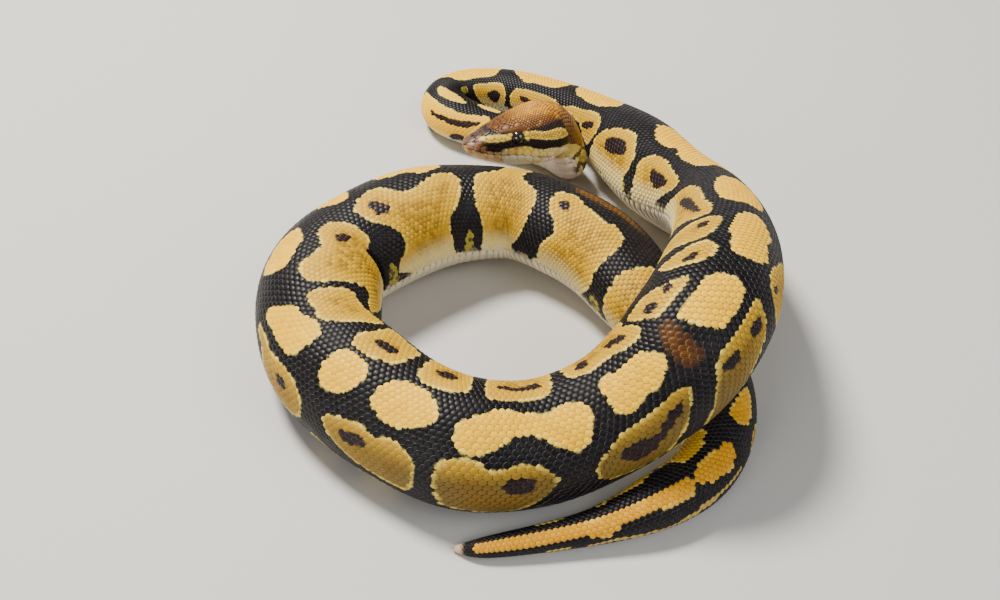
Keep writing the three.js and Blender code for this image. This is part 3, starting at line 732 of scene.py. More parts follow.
def head_markings(s, angle, chance):
    low = np.abs(angle)
    above_crown_edge = follow(CROWN_EDGE, s) - low
    # the crown turns warmer and lighter towards its back and its top: partly its own warmer brown, partly a
    # painted highlight
    crown = mixed(CROWN_BROWN, CROWN_BACK_AND_HIGHLIGHT, rise(s, 14, 12) * fall(low, 44, 30))
    crown = mixed(crown, CROWN_LIGHT_FLECK, (chance > 0.8) * 0.3 * rise(s, 18, 6))
    crown = mixed(crown, CROWN_DARK_FLECK, (chance < 0.22) * 0.45 * rise(s, 22, 8))
    crown = varied(crown, chance, 0.9, 0.2)
    crown = mixed(crown, CROWN_RIM, 0.85 * fall(above_crown_edge, 8, 9) * rise(s, 20, 5))
    colour = varied(HEAD_DARK, chance, 0.75, 0.5)
    colour = mixed(colour, crown, smooth01(above_crown_edge / 3 + 0.5) * rise(s, 9.6, 0.8))

    under = smooth01((low - follow(LIP_EDGE, s)) / 2.2 + 0.5)
    colour = mixed(colour, LIP_CREAM, under)
    for *box, rgb, strength in SNOUT_PATCHES:
        colour = mixed(colour, linear(*rgb), soft_patch(s, low, *box) * strength)
    below_lip = np.where(low > 80, np.where(low < 103, under, under * under), 1)
    for *box, rgb, strength in LIP_PATCHES:
        colour = mixed(colour, linear(*rgb), soft_patch(s, low, *box) * strength * below_lip)

    for stripe in CHEEK_STRIPES:
        depth = inside_depth(s, low, stripe) + 0.1
        yellow = mixed(GOLD_PALE, STRIPE_YELLOW, depth / 0.7)
        yellow = mixed(yellow, STRIPE_RUST, (chance > 0.52) * rise(depth, 0.5, 0.8) * rise(s, 19, 2) * 0.75)
        colour = np.where((depth > 0)[..., None], yellow, colour)

    nape = mixed(NAPE_BROWN, NAPE_TAN, rise(s, 37, 2) * fall(low, 50, 25))
    nape = varied(mixed(nape, NAPE_DARK, rise(low, 56, 10)), chance, 0.85, 0.3)
    colour = mixed(colour, nape, smooth01((s - follow(NAPE_EDGE, low)) / 1.2 + 0.5) * (low < 92))
    khaki = mixed(KHAKI, LIP_CREAM, rise(low, 88, 10) * fall(s, 42, 3))
    past_edge = s - follow(KHAKI_EDGE, low)
    colour = mixed(colour, khaki, smooth01(past_edge / 0.5 + 0.5) * (s > 35.5))
    return mixed(colour, KHAKI_LINE, hump(past_edge, 0.3) * fall(low, 78, 8) * (s > 36) * 0.9)


THROAT_LINES = [
    [(44.2, 28), (43.4, 42), (42.9, 52), (43.2, 62), (43.6, 74), (43.9, 86), (44.3, 99), (44.7, 99),
     (44.5, 86), (44.3, 74), (43.9, 62), (43.6, 52), (44.0, 42), (44.8, 30)],
    [(47.0, 58), (46.6, 72), (46.0, 84), (46.2, 94), (47.0, 102), (47.8, 113), (48.4, 116), (48.0, 106),
     (47.2, 95), (46.9, 84), (47.6, 72), (48.4, 56)],
]


def throat_markings(s, angle, chance):
    """Neck behind the head: golden above, cream at the sides, rosy under the throat."""
    low = np.abs(angle)
    colour = mixed(KHAKI, THROAT_SIDE, rise(low, 66, 24))
    colour = mixed(colour, THROAT_ROSE, rise(low, 94, 12) * rise(s, 43.4, 1.2))
    olive = soft_patch(s, low, 44.6, 46.4, 34, 82) * (0.4 + 0.6 * (chance > 0.5))
    colour = mixed(colour, THROAT_OLIVE, olive)
    # painted shade on the side of the neck behind the throat
    colour = mixed(colour, THROAT_SHADE_BROWN, soft_patch(s, low, 47.4, 50, 46, 82) * 0.85)
    colour = mixed(THROAT_BACK, colour, rise(low, 20, 8))
    for line in THROAT_LINES:
        colour = mixed(colour, THROAT_DARK, smooth01((inside_depth(s, low, line) + 0.35) / 0.3) * 0.9)
    return varied(colour, chance, 0.92, 0.16)


HEAD_COLOURS_END, THROAT_COLOURS_END = 42.4, 51.5


def skin_colour(s, angle, chance):
    head_and_throat = mixed(head_markings(s, angle, chance), throat_markings(s, angle, chance),
                            rise(s, HEAD_COLOURS_END, 1.2))
    body_starts = THROAT_COLOURS_END + 2 * (chance - 0.5)
    return mixed(head_and_throat, markings(s, angle, chance), rise(s, body_starts, 1.5))


# ---- materials ----
def add_node(tree, kind, values=(), **settings):
    """A shader node with its settings and the values of its sockets."""
    node = tree.nodes.new("ShaderNode" + kind)
    for name, value in settings.items():
        setattr(node, name, value)
    for socket, value in values:
        node.inputs[socket].default_value = value
    return node


HIDE_INPUTS = [("Colour", "NodeSocketColor", (0.5, 0.5, 0.5, 1)), ("Mottle Scale", "NodeSocketFloat", 500.0),
               ("Mottle", "NodeSocketFloat", 0.2), ("Gloss Low", "NodeSocketFloat", 0.25),
               ("Gloss High", "NodeSocketFloat", 0.45)]
HIDE_OUTPUTS = [("Colour", "NodeSocketColor"), ("Roughness", "NodeSocketFloat"),
                ("Height", "NodeSocketFloat")]
GLOSS_PATCH_SCALE, GRAIN_SCALE = 160, 2600


def make_hide_finish():
    """Fine mottling, sheen in patches and a light grain shared by the skin and every kind of scale."""
    group = bpy.data.node_groups.new("hide finish", "ShaderNodeTree")
    for label, kind, value in HIDE_INPUTS:
        group.interface.new_socket(label, in_out="INPUT", socket_type=kind).default_value = value
    for label, kind in HIDE_OUTPUTS:
        group.interface.new_socket(label, in_out="OUTPUT", socket_type=kind)
    given = group.nodes.new("NodeGroupInput").outputs
    result = group.nodes.new("NodeGroupOutput").inputs
    place = add_node(group, "TexCoord").outputs["Object"]
    mottle = add_node(group, "TexNoise", [("Detail", 4)])
    centred = add_node(group, "Math", [(1, 0.5)], operation="SUBTRACT")
    amount = add_node(group, "Math", [(2, 1.0)], operation="MULTIPLY_ADD")
    tint = add_node(group, "VectorMath", operation="SCALE")
    patches = add_node(group, "TexNoise", [("Scale", GLOSS_PATCH_SCALE), ("Detail", 3)])
    gloss = add_node(group, "MapRange", [("From Min", 0.3), ("From Max", 0.7)])
    grain = add_node(group, "TexNoise", [("Scale", GRAIN_SCALE), ("Detail", 2)])
    for source, target in [
            (place, mottle.inputs["Vector"]), (given["Mottle Scale"], mottle.inputs["Scale"]),
            (mottle.outputs["Fac"], centred.inputs[0]), (centred.outputs[0], amount.inputs[0]),
            (given["Mottle"], amount.inputs[1]), (given["Colour"], tint.inputs[0]),
            (amount.outputs[0], tint.inputs["Scale"]), (tint.outputs[0], result["Colour"]),
            (place, patches.inputs["Vector"]), (patches.outputs["Fac"], gloss.inputs["Value"]),
            (given["Gloss Low"], gloss.inputs["To Min"]), (given["Gloss High"], gloss.inputs["To Max"]),
            (gloss.outputs["Result"], result["Roughness"]), (place, grain.inputs["Vector"]),
            (grain.outputs["Fac"], result["Height"])]:
        group.links.new(source, target)
    return group


HIDE_FINISH = make_hide_finish()
BUMP_DISTANCE = 0.0001


def hide_material(name, mottle_scale, mottle, gloss_low, gloss_high, coat, coat_roughness, bump, shine):
    material = bpy.data.materials.new(name)
    material.use_nodes = True
    tree = material.node_tree
    shader = tree.nodes["Principled BSDF"].inputs
    shader["Specular IOR Level"].default_value = shine
    shader["Coat Weight"].default_value = coat
    shader["Coat Roughness"].default_value = coat_roughness
    colour = add_node(tree, "Attribute", attribute_name="Markings")
    finish = add_node(tree, "Group", node_tree=HIDE_FINISH)
    for label, value in (("Mottle Scale", mottle_scale), ("Mottle", mottle), ("Gloss Low", gloss_low),
                         ("Gloss High", gloss_high)):
        finish.inputs[label].default_value = value
    relief = add_node(tree, "Bump", [("Strength", bump), ("Distance", BUMP_DISTANCE)])
    for source, target in [
            (colour.outputs["Color"], finish.inputs["Colour"]),
            (finish.outputs["Colour"], shader["Base Color"]),
            (finish.outputs["Roughness"], shader["Roughness"]),
            (finish.outputs["Height"], relief.inputs["Height"]),
            (relief.outputs["Normal"], shader["Normal"])]:
        tree.links.new(source, target)
    return material


# mottle scale and strength, least and most roughness, coat and its roughness, bump, shine
SKIN_MATERIAL = hide_material("skin between scales", 700, 0.5, 0.5, 0.7, 0.0, 0.3, 0.3, 0.25)
SCALE_MATERIAL = hide_material("smooth scale", 900, 0.35, 0.38, 0.54, 0.03, 0.2, 0.12, 0.2)
PLATE_MATERIAL = hide_material("head plate", 1100, 0.45, 0.40, 0.54, 0.04, 0.24, 0.1, 0.28)
BELLY_MATERIAL = hide_material("belly scute", 500, 0.15, 0.30, 0.42, 0.15, 0.14, 0.1, 0.4)
EYE_MATERIAL = hide_material("eye", 1500, 0.25, 0.05, 0.1, 1.0, 0.02, 0.0, 0.5)


# ---- mesh making ----
def nothing_selected():
    if bpy.context.mode != "OBJECT":
        bpy.ops.object.mode_set(mode="OBJECT")
    bpy.ops.object.select_all(action="DESELECT")


def write_markings(mesh, colours):
    layer = mesh.color_attributes.new(name="Markings", type="FLOAT_COLOR", domain="POINT")
    layer.data.foreach_set("color", np.c_[colours, np.ones(len(colours))].astype(np.float32).ravel())


def make_piece(name, points, faces, colours, material, patch=None):
    """A piece from places in millimetres, (sizes, corners) of its faces and a colour for each place."""
    sizes, corners = faces
    mesh = bpy.data.meshes.new(name)
    mesh.vertices.add(len(points))
    mesh.vertices.foreach_set("co", (points * MM).astype(np.float32).ravel())
    mesh.loops.add(len(corners))
    mesh.loops.foreach_set("vertex_index", corners)
    mesh.polygons.add(len(sizes))
    mesh.polygons.foreach_set("loop_start", np.r_[0, np.cumsum(sizes)[:-1]].astype(np.int32))
    mesh.polygons.foreach_set("use_smooth", np.ones(len(sizes), bool))
    mesh.update(calc_edges=True)
    mesh.validate()
    write_markings(mesh, colours)
    if patch is not None:
        uv = mesh.uv_layers.new(name="OFBake")
        uv.data.foreach_set("uv", patch[corners].astype(np.float32).ravel())
    mesh.materials.append(material)
    piece = bpy.data.objects.new(name, mesh)
    bpy.context.scene.collection.objects.link(piece)
    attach(piece, "root")
    return piece


# ---- size of the scales along the body ----
ROW_PITCH, COLUMN_PITCH, SCUTE_PITCH = 2.25, 1.72, 3.4    # at mid-body, in millimetres
PITCH_HALF_WIDTH, PITCH_POWER = 20.6, 0.55
HEAD_SCALE_SIZE, TAIL_SCALE_SIZE = 0.56, 0.80
COAT_DEPTH = 0.45                         # from the outer surface down to the skin, at mid-body
SMALLEST_RELIEF, RELIEF_POWER = 0.35, 0.6


def scale_size(s):
    """Size of the scales as a share of those at mid-body."""
    grown = (rows_at(s)[..., HALF] / PITCH_HALF_WIDTH) ** PITCH_POWER
    grown = np.maximum(grown, TAIL_SCALE_SIZE * rise(s, 690, 30) * (1 - 0.4 * rise(s, 795, 22)))
    return HEAD_SCALE_SIZE + (grown - HEAD_SCALE_SIZE) * rise(s, 30, 14)


def relief_size(s):
    """Thickness of the coat as a share of that at mid-body."""
    return np.clip(scale_size(s), SMALLEST_RELIEF, 1.0) ** RELIEF_POWER


def coat_depth(s):
    return COAT_DEPTH * relief_size(s)


def dorsal_edge(s):
    """Angle where the coat of small scales ends and the belly scutes begin."""
    return np.interp(s, [52, 70], [108.0, 129.0])


# ---- head features ----
EYE_RADIUS, EYE_ALONG, EYE_ASIDE, EYE_UP = 2.7, 18.5, 7.8, 3.5
EYE_PLACE = (18.0, 68.0)                   # middle of the opening, along and angle
# the mouth line as (along, drop under the head's axis); nostril and heat pits as (along, angle)
MOUTH_POINTS = [
    (0.0, 0.3), (2, 0.4), (5, 1.3), (9, 2.3), (13, 2.7), (17, 2.65), (20, 2.8), (23, 3.3), (26, 3.8),
    (28, 3.8), (31, 3.4), (33, 3.6), (36, 4.4),
]
MOUTH_CORNER = 31.5
NOSTRIL = (3.4, 46.0)
PITS = [(3.9, 86.0), (6.2, 91.0), (8.5, 93.0), (10.8, 93.5)]


def mouth_angle(s):
    """Angle of the mouth line, from its drop under the head's axis."""
    r = rows_at(s)
    share = np.clip(follow(MOUTH_POINTS, s) / r[..., UNDER], 0.02, 0.98)
    n = r[..., UNDER_SQUARE]
    return 180 - np.degrees(np.arctan((share ** -n - 1) ** (1 / n)))


def mouth_distance(s, angle):
    """Distance under the mouth line, minus above it, in millimetres."""
    return (np.abs(angle) - mouth_angle(s)) * mm_per_degree(s)


def head_relief(s, angle):
    """Hollows and swellings of the head's skin, in millimetres."""
    low = np.abs(angle)
    scale = mm_per_degree(s)

    def spot(place, width, power=2):
        return hump(np.hypot(s - place[0], (low - place[1]) * scale), width, power)
    opened = fall(s, MOUTH_CORNER + 1, 2) * rise(s, -0.4, 1.2)
    lips = -0.75 * hump(mouth_distance(s, angle), 0.32) * opened
    nostril = -1.0 * spot(NOSTRIL, 0.45)
    pits = sum(-0.45 * spot(pit, 0.5) for pit in PITS)
    eye_bed = -0.5 * spot(EYE_PLACE, 2.2, 4)
    brow = 0.45 * hump(s - 18, 4.2) * hump(low - 50, 9)
    canthus = 0.3 * hump(low - 44, 8) * rise(s, 6, 4) * fall(s, 17, 3)
    return lips + nostril + pits + brow + eye_bed + canthus


# ---- the skin, one closed surface from snout to tail tip ----
SKIN_SIDES = 128
LIP_COLUMN = 36                            # of the 64 on each side
FIRST_SKIN_ROWS = [0.0, 0.12, 0.3, 0.55, 0.85, 1.2]
HEAD_ROW_STEP, BODY_ROW_STEP = 0.42, 1.32
HEAD_ROWS_END = 40
RELIEF_END = 38


def skin_rows():
    head = list(FIRST_SKIN_ROWS)
    while head[-1] < HEAD_ROWS_END:
        head.append(head[-1] + HEAD_ROW_STEP)
    count = int((TOTAL - head[-1]) / BODY_ROW_STEP)
    return np.array(head + list(np.linspace(head[-1], TOTAL, count + 1)[1:]))


def skin_angles(s):
    """Angles of the skin's columns, one of which follows the lips on the head."""
    k = np.arange(-SKIN_SIDES // 2, SKIN_SIDES // 2)
    even = 360 * np.abs(k) / SKIN_SIDES
    lip_even = 360 * LIP_COLUMN / SKIN_SIDES
    target = mouth_angle(s)[:, None]
    above = even * target / lip_even
    below = 180 - (180 - even) * (180 - target) / (180 - lip_even)
    gap = np.where(even <= lip_even, above, below) - target
    led = target + gap * (0.45 + 0.55 * np.minimum(np.abs(gap) / 12, 1))
    blend = fall(s, RELIEF_END, 6)[:, None]
    return (led * blend + even * (1 - blend)) * np.sign(k + 0.5)


def make_skin():
    s = skin_rows()
    angle = skin_angles(s)
    rows, sides = angle.shape
    along = np.broadcast_to(s[:, None], angle.shape)
    points = lifted(along, angle, head_relief(along, angle) * (along < RELIEF_END) - coat_depth(along))
    chance = RANDOM.random(angle.shape)
    colours = skin_colour(along.ravel(), angle.ravel(), 0.35 + 0.3 * chance.ravel())
    # the skin between the scales is a darker copy of the markings: painted shade in the gaps, less deep on
    # the head
    colours = colours * (0.7 - 0.3 * rise(along.ravel(), 36, 8))[:, None]
    # the mouth line is darkened: painted shade in the slit between the lips
    lips = hump(mouth_distance(along, angle), 0.3) * (along < MOUTH_CORNER)
    colours = mixed(colours, MOUTH_SLIT_SHADE, lips.ravel() * 0.85)
    ring = np.arange(sides)
    after = (ring + 1) % sides
    starts = np.arange(rows - 1)[:, None] * sides
    first, second = (starts + ring).ravel(), (starts + after).ravel()
    quads = np.stack([first, second, second + sides, first + sides], 1)
    # the snout and the tail's tip close with a fan of triangles each
    last = (rows - 1) * sides
    front, end = rows_at(0.0)[POINT], rows_at(TOTAL)[POINT]
    tip = end + (end - rows_at(TOTAL - 1)[POINT]) * 0.3
    points = np.concatenate([points.reshape(-1, 3), [front], [tip]])
    colours = np.concatenate([colours, colours[:1], colours[last:last + 1]])
    nose_fan = np.stack([np.full(sides, rows * sides), after, ring], 1)
    tail_fan = np.stack([np.full(sides, rows * sides + 1), last + ring, last + after], 1)
    sizes = np.r_[np.full(len(quads), 4), np.full(2 * sides, 3)].astype(np.int32)
    corners = np.r_[quads.ravel(), nose_fan.ravel(), tail_fan.ravel()].astype(np.int32)
    return make_piece("skin", points, (sizes, corners), colours, SKIN_MATERIAL)


# ---- one scale and one belly scute, each modelled once ----
SCALE_SIDES = 12


def closed_plate(thickness, shape_top=None):
    """Points, face sizes and corners of the flat shape just added, pulled up into a closed plate."""
    thing = bpy.context.object
    bpy.ops.object.mode_set(mode="EDIT")
    bpy.ops.mesh.select_all(action="SELECT")
    bpy.ops.mesh.extrude_region_move(TRANSFORM_OT_translate={"value": (0, 0, thickness)})
    if shape_top:
        shape_top()
    bpy.ops.mesh.select_all(action="SELECT")
    bpy.ops.mesh.normals_make_consistent(inside=False)
    bpy.ops.object.mode_set(mode="OBJECT")
    mesh = thing.data
    points = np.array([v.co for v in mesh.vertices])
    # each face from its lowest corner, and the faces in order, so that every run gives the same mesh
    faces = sorted(np.roll(p.vertices, -int(np.argmin(p.vertices))).tolist() for p in mesh.polygons)
    sizes = np.array([len(face) for face in faces], np.int32)
    corners = np.concatenate(faces).astype(np.int32)
    bpy.data.objects.remove(thing)
    bpy.data.meshes.remove(mesh)
    return points, sizes, corners


def dome():
    bpy.ops.mesh.inset(thickness=0.3, depth=0.3)
    bpy.ops.mesh.poke(offset=0.1)


def model_scale():
    """A round plate with a domed top; plan radius 1, walls from 0 to 0.6, dome to 1."""
    nothing_selected()
    bpy.ops.mesh.primitive_circle_add(vertices=SCALE_SIDES, radius=1, fill_type="NGON", location=(0, 0, 0))
    return closed_plate(0.6, dome)


def model_scute():
    """A wide flat plate; 2 long and 2 wide, from 0 to 1."""
    nothing_selected()
    bpy.ops.mesh.primitive_grid_add(x_subdivisions=2, y_subdivisions=10, size=2, location=(0, 0, 0))
    return closed_plate(1)


def turned(template):
    """The same plate with its faces wound the other way, for places laid out as along and angle."""
    points, sizes, corners = template
    ends = np.cumsum(sizes)
    return points, sizes, np.concatenate([corners[end - size:end][::-1] for size, end in zip(sizes, ends)])


SCALE = model_scale()
COAT_SCALE = turned(SCALE)
SCUTE = turned(model_scute())
SCALE_POINTS = SCALE[0]
SCALE_RADIUS = np.hypot(SCALE_POINTS[:, 0], SCALE_POINTS[:, 1])
AT_CENTRE = SCALE_RADIUS < 1e-4
AT_FOOT = SCALE_POINTS[:, 2] < 0.3
AT_EDGE = (SCALE_POINTS[:, 2] > 0.3) & (SCALE_POINTS[:, 2] < 0.7)
ON_DOME = ~AT_FOOT & ~AT_EDGE & ~AT_CENTRE
DIAMOND = 1.75                             # 1 for a diamond, 2 for an oval
INNER_RING = 1.2                           # how far the flat top spreads, as a share of the modelled one
PATCH = 0.003                              # of a scale on the baking map


def by_ring(foot, edge, dome_ring, centre):
    """A value for each point of the modelled scale, from the foot of its walls to the middle of its dome."""
    return np.select([AT_FOOT, AT_EDGE, ON_DOME], [foot, edge, dome_ring], centre)


def copies(template, count):
    """Face sizes and corners of many copies of a template."""
    points, sizes, corners = template
    shifts = np.arange(count) * len(points)
    return np.tile(sizes, count), (corners[None] + shifts[:, None]).ravel().astype(np.int32)


def on_map(share, edge=0.01):
    """A share of the baking map's width, inside an empty edge."""
    return share * (1 - 2 * edge) + edge


def bake_patches(u, v, x, y):
    """Places on the baking map, a small patch for each scale where its root lies."""
    return np.stack([u[:, None] + x[None], v[:, None] + y[None]], -1).reshape(-1, 2)


CREST_PLACES = np.arange(0.0, TOTAL, 1.0)
CREST = outer_surface(CREST_PLACES, 0)
CREST_STRETCH = np.convolve(np.linalg.norm(np.gradient(CREST, axis=0), axis=1), np.ones(9) / 9, "same")
CREST_ENDS = 6                             # places at each end where the average runs out


def row_pitch(s):
    """Length of a scale along the body's axis, so that it has its own size on the crest of the back."""
    inside = slice(CREST_ENDS, -CREST_ENDS)
    stretch = np.interp(s, CREST_PLACES[inside], CREST_STRETCH[inside])
    return ROW_PITCH * scale_size(np.asarray(s)) / np.clip(stretch, 0.8, 1.6)


FIRST_SCALE_ROW = 20.0
MOST_COLUMNS = 60                          # to each side of the crest


def lattice(start, end):
    """Centres of the scales between two distances: along, angle, pitch along, pitch in degrees."""
    rows = [FIRST_SCALE_ROW]
    while rows[-1] < TOTAL:
        rows.append(rows[-1] + float(row_pitch(rows[-1])))
    number = np.arange(len(rows))
    out = []
    for column in range(-MOST_COLUMNS, MOST_COLUMNS + 1):
        s = np.interp(number + 0.5 * (column % 2), number, rows)
        step = COLUMN_PITCH * scale_size(s) / mm_per_degree(s)
        angle = column * step
        keep = (np.abs(angle) <= dorsal_edge(s)) & (s >= start) & (s < end) & (s < TOTAL - 0.5)
        out.append(np.stack([s, angle, row_pitch(s), step], 1)[keep])
    return np.concatenate(out)


def oval_plan():
    """The modelled scale's plan, drawn from a circle towards a diamond."""
    x, y = SCALE_POINTS[:, 0], SCALE_POINTS[:, 1]
    radius = np.maximum(SCALE_RADIUS, 1e-6)
    share = (np.abs(x / radius) ** DIAMOND + np.abs(y / radius) ** DIAMOND + 1e-9) ** (-1 / DIAMOND)
    spread = by_ring(share, share, share * INNER_RING, 1)
    return x * spread, y * spread


FRONT_REACH, BACK_REACH, SIDE_REACH = 0.50, 0.62, 0.69    # of a scale, in pitches
STEPPED_COLOURS = 0.5                      # how far markings vary within a scale; 0 gives it one colour


def make_coat(name, start, end):
    s0, a0, row, column = lattice(start, end).T
    chance = RANDOM.random(len(s0))
    x, y = oval_plan()
    back = (x + 1) / 2
    length = np.where(x > 0, BACK_REACH, FRONT_REACH)
    s = np.minimum(s0[:, None] + (x * length)[None] * row[:, None], TOTAL)
    a = a0[:, None] + (y * SIDE_REACH)[None] * column[:, None]
    height = by_ring(-0.32 + 0.34 * back, -0.02 + 0.29 * back, 0.11 + 0.26 * back, 0.265)
    jitter = 1 + 0.12 * (chance[:, None] - 0.5)
    where = lifted(s, a, height[None] * relief_size(s0)[:, None] * jitter - coat_depth(s))

    reach = STEPPED_COLOURS - 0.4 * rise(s0[:, None], TAIL_RIMS, 20)
    base = skin_colour((s0[:, None] + reach * (s - s0[:, None])).ravel(),
                       (a0[:, None] + reach * (a - a0[:, None])).ravel(), np.repeat(chance, s.shape[1]))
    base = base.reshape(*s.shape, 3)
    dark = smooth01((0.12 - base.sum(-1)) / 0.06)
    olive = outer_flank_shade(s0, a0)[:, None]
    # painted shade and light by ring: the foot of the walls darkest and the front edge darker where they sit
    # low, the raised rear edge lighter; the middle a touch darker
    colours = base * by_ring(0.4, 0.86 + 0.2 * back, 0.96, 0.90)[None, :, None]
    # where the outer flank is painted shaded, the scales' edges are darker still and their pale rims fade
    colours = colours * (1 - 0.66 * (olive * AT_EDGE[None]))[..., None]
    # a painted highlight on the rear rims of the dark scales
    rim_highlight = by_ring(0, rise(back, 0.3, 0.5), 0, 0)[None] * (0.4 + 0.6 * chance[:, None])
    colours = mixed(colours, DARK_SCALE_HIGHLIGHT, rim_highlight * dark * 0.4)
    pale_rim = 0.26 * AT_EDGE[None] * (1 - dark) * (1 - 0.8 * olive) * (s < TAIL_RIMS)
    colours = mixed(colours, GOLD_PALE, pale_rim)
    patch = bake_patches(on_map((s0 - start) / (end - start)), on_map((a0 + 180) / 360),
                         x * PATCH / 2, y * PATCH / 2)
    return make_piece(name, where.reshape(-1, 3), copies(COAT_SCALE, len(s0)), colours.reshape(-1, 3),
                      SCALE_MATERIAL, patch)


FIRST_SCUTE = 38.0


def make_scutes():
    rows = [FIRST_SCUTE]
    while rows[-1] < TOTAL - 2:
        rows.append(rows[-1] + SCUTE_PITCH * float(scale_size(np.array(rows[-1]))))
    s0 = np.array(rows)
    pitch = SCUTE_PITCH * scale_size(s0)[:, None]
    x, y, z = SCUTE[0].T
    back = (x + 1) / 2
    edge = 1 - np.abs(y)
    s = np.minimum(s0[:, None] + x * pitch * 0.62 - 0.25 * pitch * (1 - edge) ** 2, TOTAL)
    a = 180 + y * (180 - dorsal_edge(s0)[:, None] + 0.5)
    top = np.where(back > 0.7, 0.42, np.where(back > 0.3, 0.30, -0.1)) * smooth01(edge * 12 + 0.35)
    height = np.where(z > 0.5, top, top - 0.3)
    where = lifted(s, a, height * relief_size(s0)[:, None] - coat_depth(s))
    chance = RANDOM.random(s.shape)
    base = skin_colour(s.ravel(), np.where(a > 180, a - 360, a).ravel(), chance.ravel() * 0.3 + 0.5)
    # painted shade on the front of each scute, which lies low under the one ahead, and a touch of painted
    # light on its raised rear edge
    shade = np.where(back > 0.7, 1.03, np.where(back > 0.3, 0.98, 0.7))
    colours = base * np.tile(shade, len(s0))[:, None]
    patch = bake_patches(on_map(s0 / TOTAL), np.full(len(s0), 0.5), x * PATCH / 4, y * 0.4)
    return make_piece("belly_scutes", where.reshape(-1, 3), copies(SCUTE, len(s0)), colours, BELLY_MATERIAL,
                      patch)


# ---- the head's plates, a mosaic of abutting scales ----
# along, angle, radius: single plates on the middle line, then those of one side
HEAD_PLATES = [
    (1.7, 0, 1.0), (10.4, 0, 1.15), (13.4, 0, 1.0), (2.8, 24, 1.1), (5.4, 17, 1.4), (8.4, 20, 1.6),
    (11.9, 17, 1.35), (15.2, 13, 1.25), (14.6, 36, 1.5), (18.4, 18, 1.0), (18.6, 42, 1.35), (5.9, 44, 1.2),
    (8.8, 47, 1.15), (11.5, 53, 1.1), (5.6, 66, 1.0), (2.1, 62, 0.85), (7.9, 68, 0.95), (10.3, 72, 0.9),
    (12.8, 73, 0.9),
]
UPPER_LABIALS = [
    1.8, 3.9, 6.2, 8.5, 10.8, 13.2, 15.7, 18.3, 21.0, 23.8, 26.6, 29.4,
]
LOWER_LABIALS = [
    2.0, 4.0, 6.2, 8.5, 11.0, 13.6, 16.3, 19.0, 21.8, 24.6, 27.4, 30.2,
]
HEAD_COAT_END = 38.4
FINE_SCALES = 0.84                         # crown scales against those of the neck
FIRST_CROWN_ROW = 9.2
EYE_RING_PLATES, EYE_RING_ALONG, EYE_RING_AROUND = 12, 3.4, 2.9
NOSTRIL_ROOM, EYE_ROOM, RING_PLATE_ROOM = 0.45, 2.35, 0.8


def head_seeds():
    """Centres and radii of the head's plates; the last column says whether the place holds a plate."""
    fixed = []
    for s, angle, radius in HEAD_PLATES:
        for side in ((1, -1) if angle else (1,)):
            fixed.append((s, side * angle, radius, 1))
    for many, away, radius in ((UPPER_LABIALS, -1.35, 1.35), (LOWER_LABIALS, 1.25, 1.25)):
        for s in many:
            grow = min(1.0, 0.55 + 0.06 * s)
            angle = float(mouth_angle(s)) + away * grow / float(mm_per_degree(s))
            fixed += [(s, side * angle, radius * grow, 1) for side in (1, -1)]
    eye_at, eye_angle = EYE_PLACE
    for side in (1, -1):
        fixed.append((NOSTRIL[0], side * NOSTRIL[1], NOSTRIL_ROOM, 0))
        fixed.append((eye_at, side * eye_angle, EYE_ROOM, 0))
        for k in range(EYE_RING_PLATES):
            t = 2 * math.pi * k / EYE_RING_PLATES + 0.2
            angle = eye_angle + EYE_RING_AROUND * math.sin(t) / float(mm_per_degree(eye_at))
            fixed.append((eye_at + EYE_RING_ALONG * math.cos(t), side * angle, RING_PLATE_ROOM, 1))
    fill = []
    s = FIRST_CROWN_ROW
    odd = 0
    while s < HEAD_COAT_END + 4:
        size = float(scale_size(s)) * FINE_SCALES
        step = COLUMN_PITCH * size / float(mm_per_degree(s))
        count = int(180 / step)
        fill += [(s, column * step, 1.34 * size, 1) for column in range(-count, count + 1)
                 if (column + odd) % 2 == 0 and abs(column * step) < 179]
        s += ROW_PITCH * size / 2
        odd += 1
    fixed, fill = np.array(fixed, float), np.array(fill, float)
    distance = np.linalg.norm(outer_surface(fill[:, 0], fill[:, 1])[:, None]
                              - outer_surface(fixed[:, 0], fixed[:, 1])[None], axis=-1)
    clear = (distance > fixed[None, :, 2] + fill[:, None, 2] * 0.72).all(1)
    return np.concatenate([fixed, fill[clear]])


NEIGHBOURS = 6.5                           # distance to which a plate looks for its neighbours
PLATE_GAP, SMALLEST_REACH = 0.03, 0.12
FAR = 99


def wall_reach(lean, wall):
    """How far a ray goes to a wall, from the cosine of its angle to the wall's normal."""
    return np.where(lean > 0.05, wall / np.maximum(lean, 0.05), FAR)


def plate_reaches(seeds, used, points, along, across, theta):
    """How far each plate reaches in each direction, up to its neighbours and the line of the lips."""
    s0, a0, radius, _ = seeds.T
    reaches = np.zeros((len(used), len(theta)))
    for row, i in enumerate(used):
        away = points - points[i]
        distance = np.linalg.norm(away, axis=1)
        near = (distance < NEIGHBOURS) & (distance > 1e-6)
        wall = (distance[near] ** 2 + radius[i] ** 2 - radius[near] ** 2) / (2 * distance[near])
        bearing = np.arctan2(away[near] @ across[i], away[near] @ along[i])
        reach = wall_reach(np.cos(theta[:, None] - bearing[None]), wall[None]).min(1)
        if s0[i] < MOUTH_CORNER + 1:
            # the way to the lips: towards larger angles for plates above them, on the plus side
            under = float(mouth_distance(s0[i], a0[i]))
            side = np.sign(a0[i]) if a0[i] else 1
            turn = np.sign(across[i] @ (outer_surface(s0[i], a0[i] + 1) - points[i]))
            toward = -np.sign(under) * side * turn
            reach = np.minimum(reach, wall_reach(np.sin(theta) * toward, abs(under) - 0.1))
        reaches[row] = np.minimum(reach, 2.6 * radius[i])
    return np.maximum(reaches - PLATE_GAP, SMALLEST_REACH)


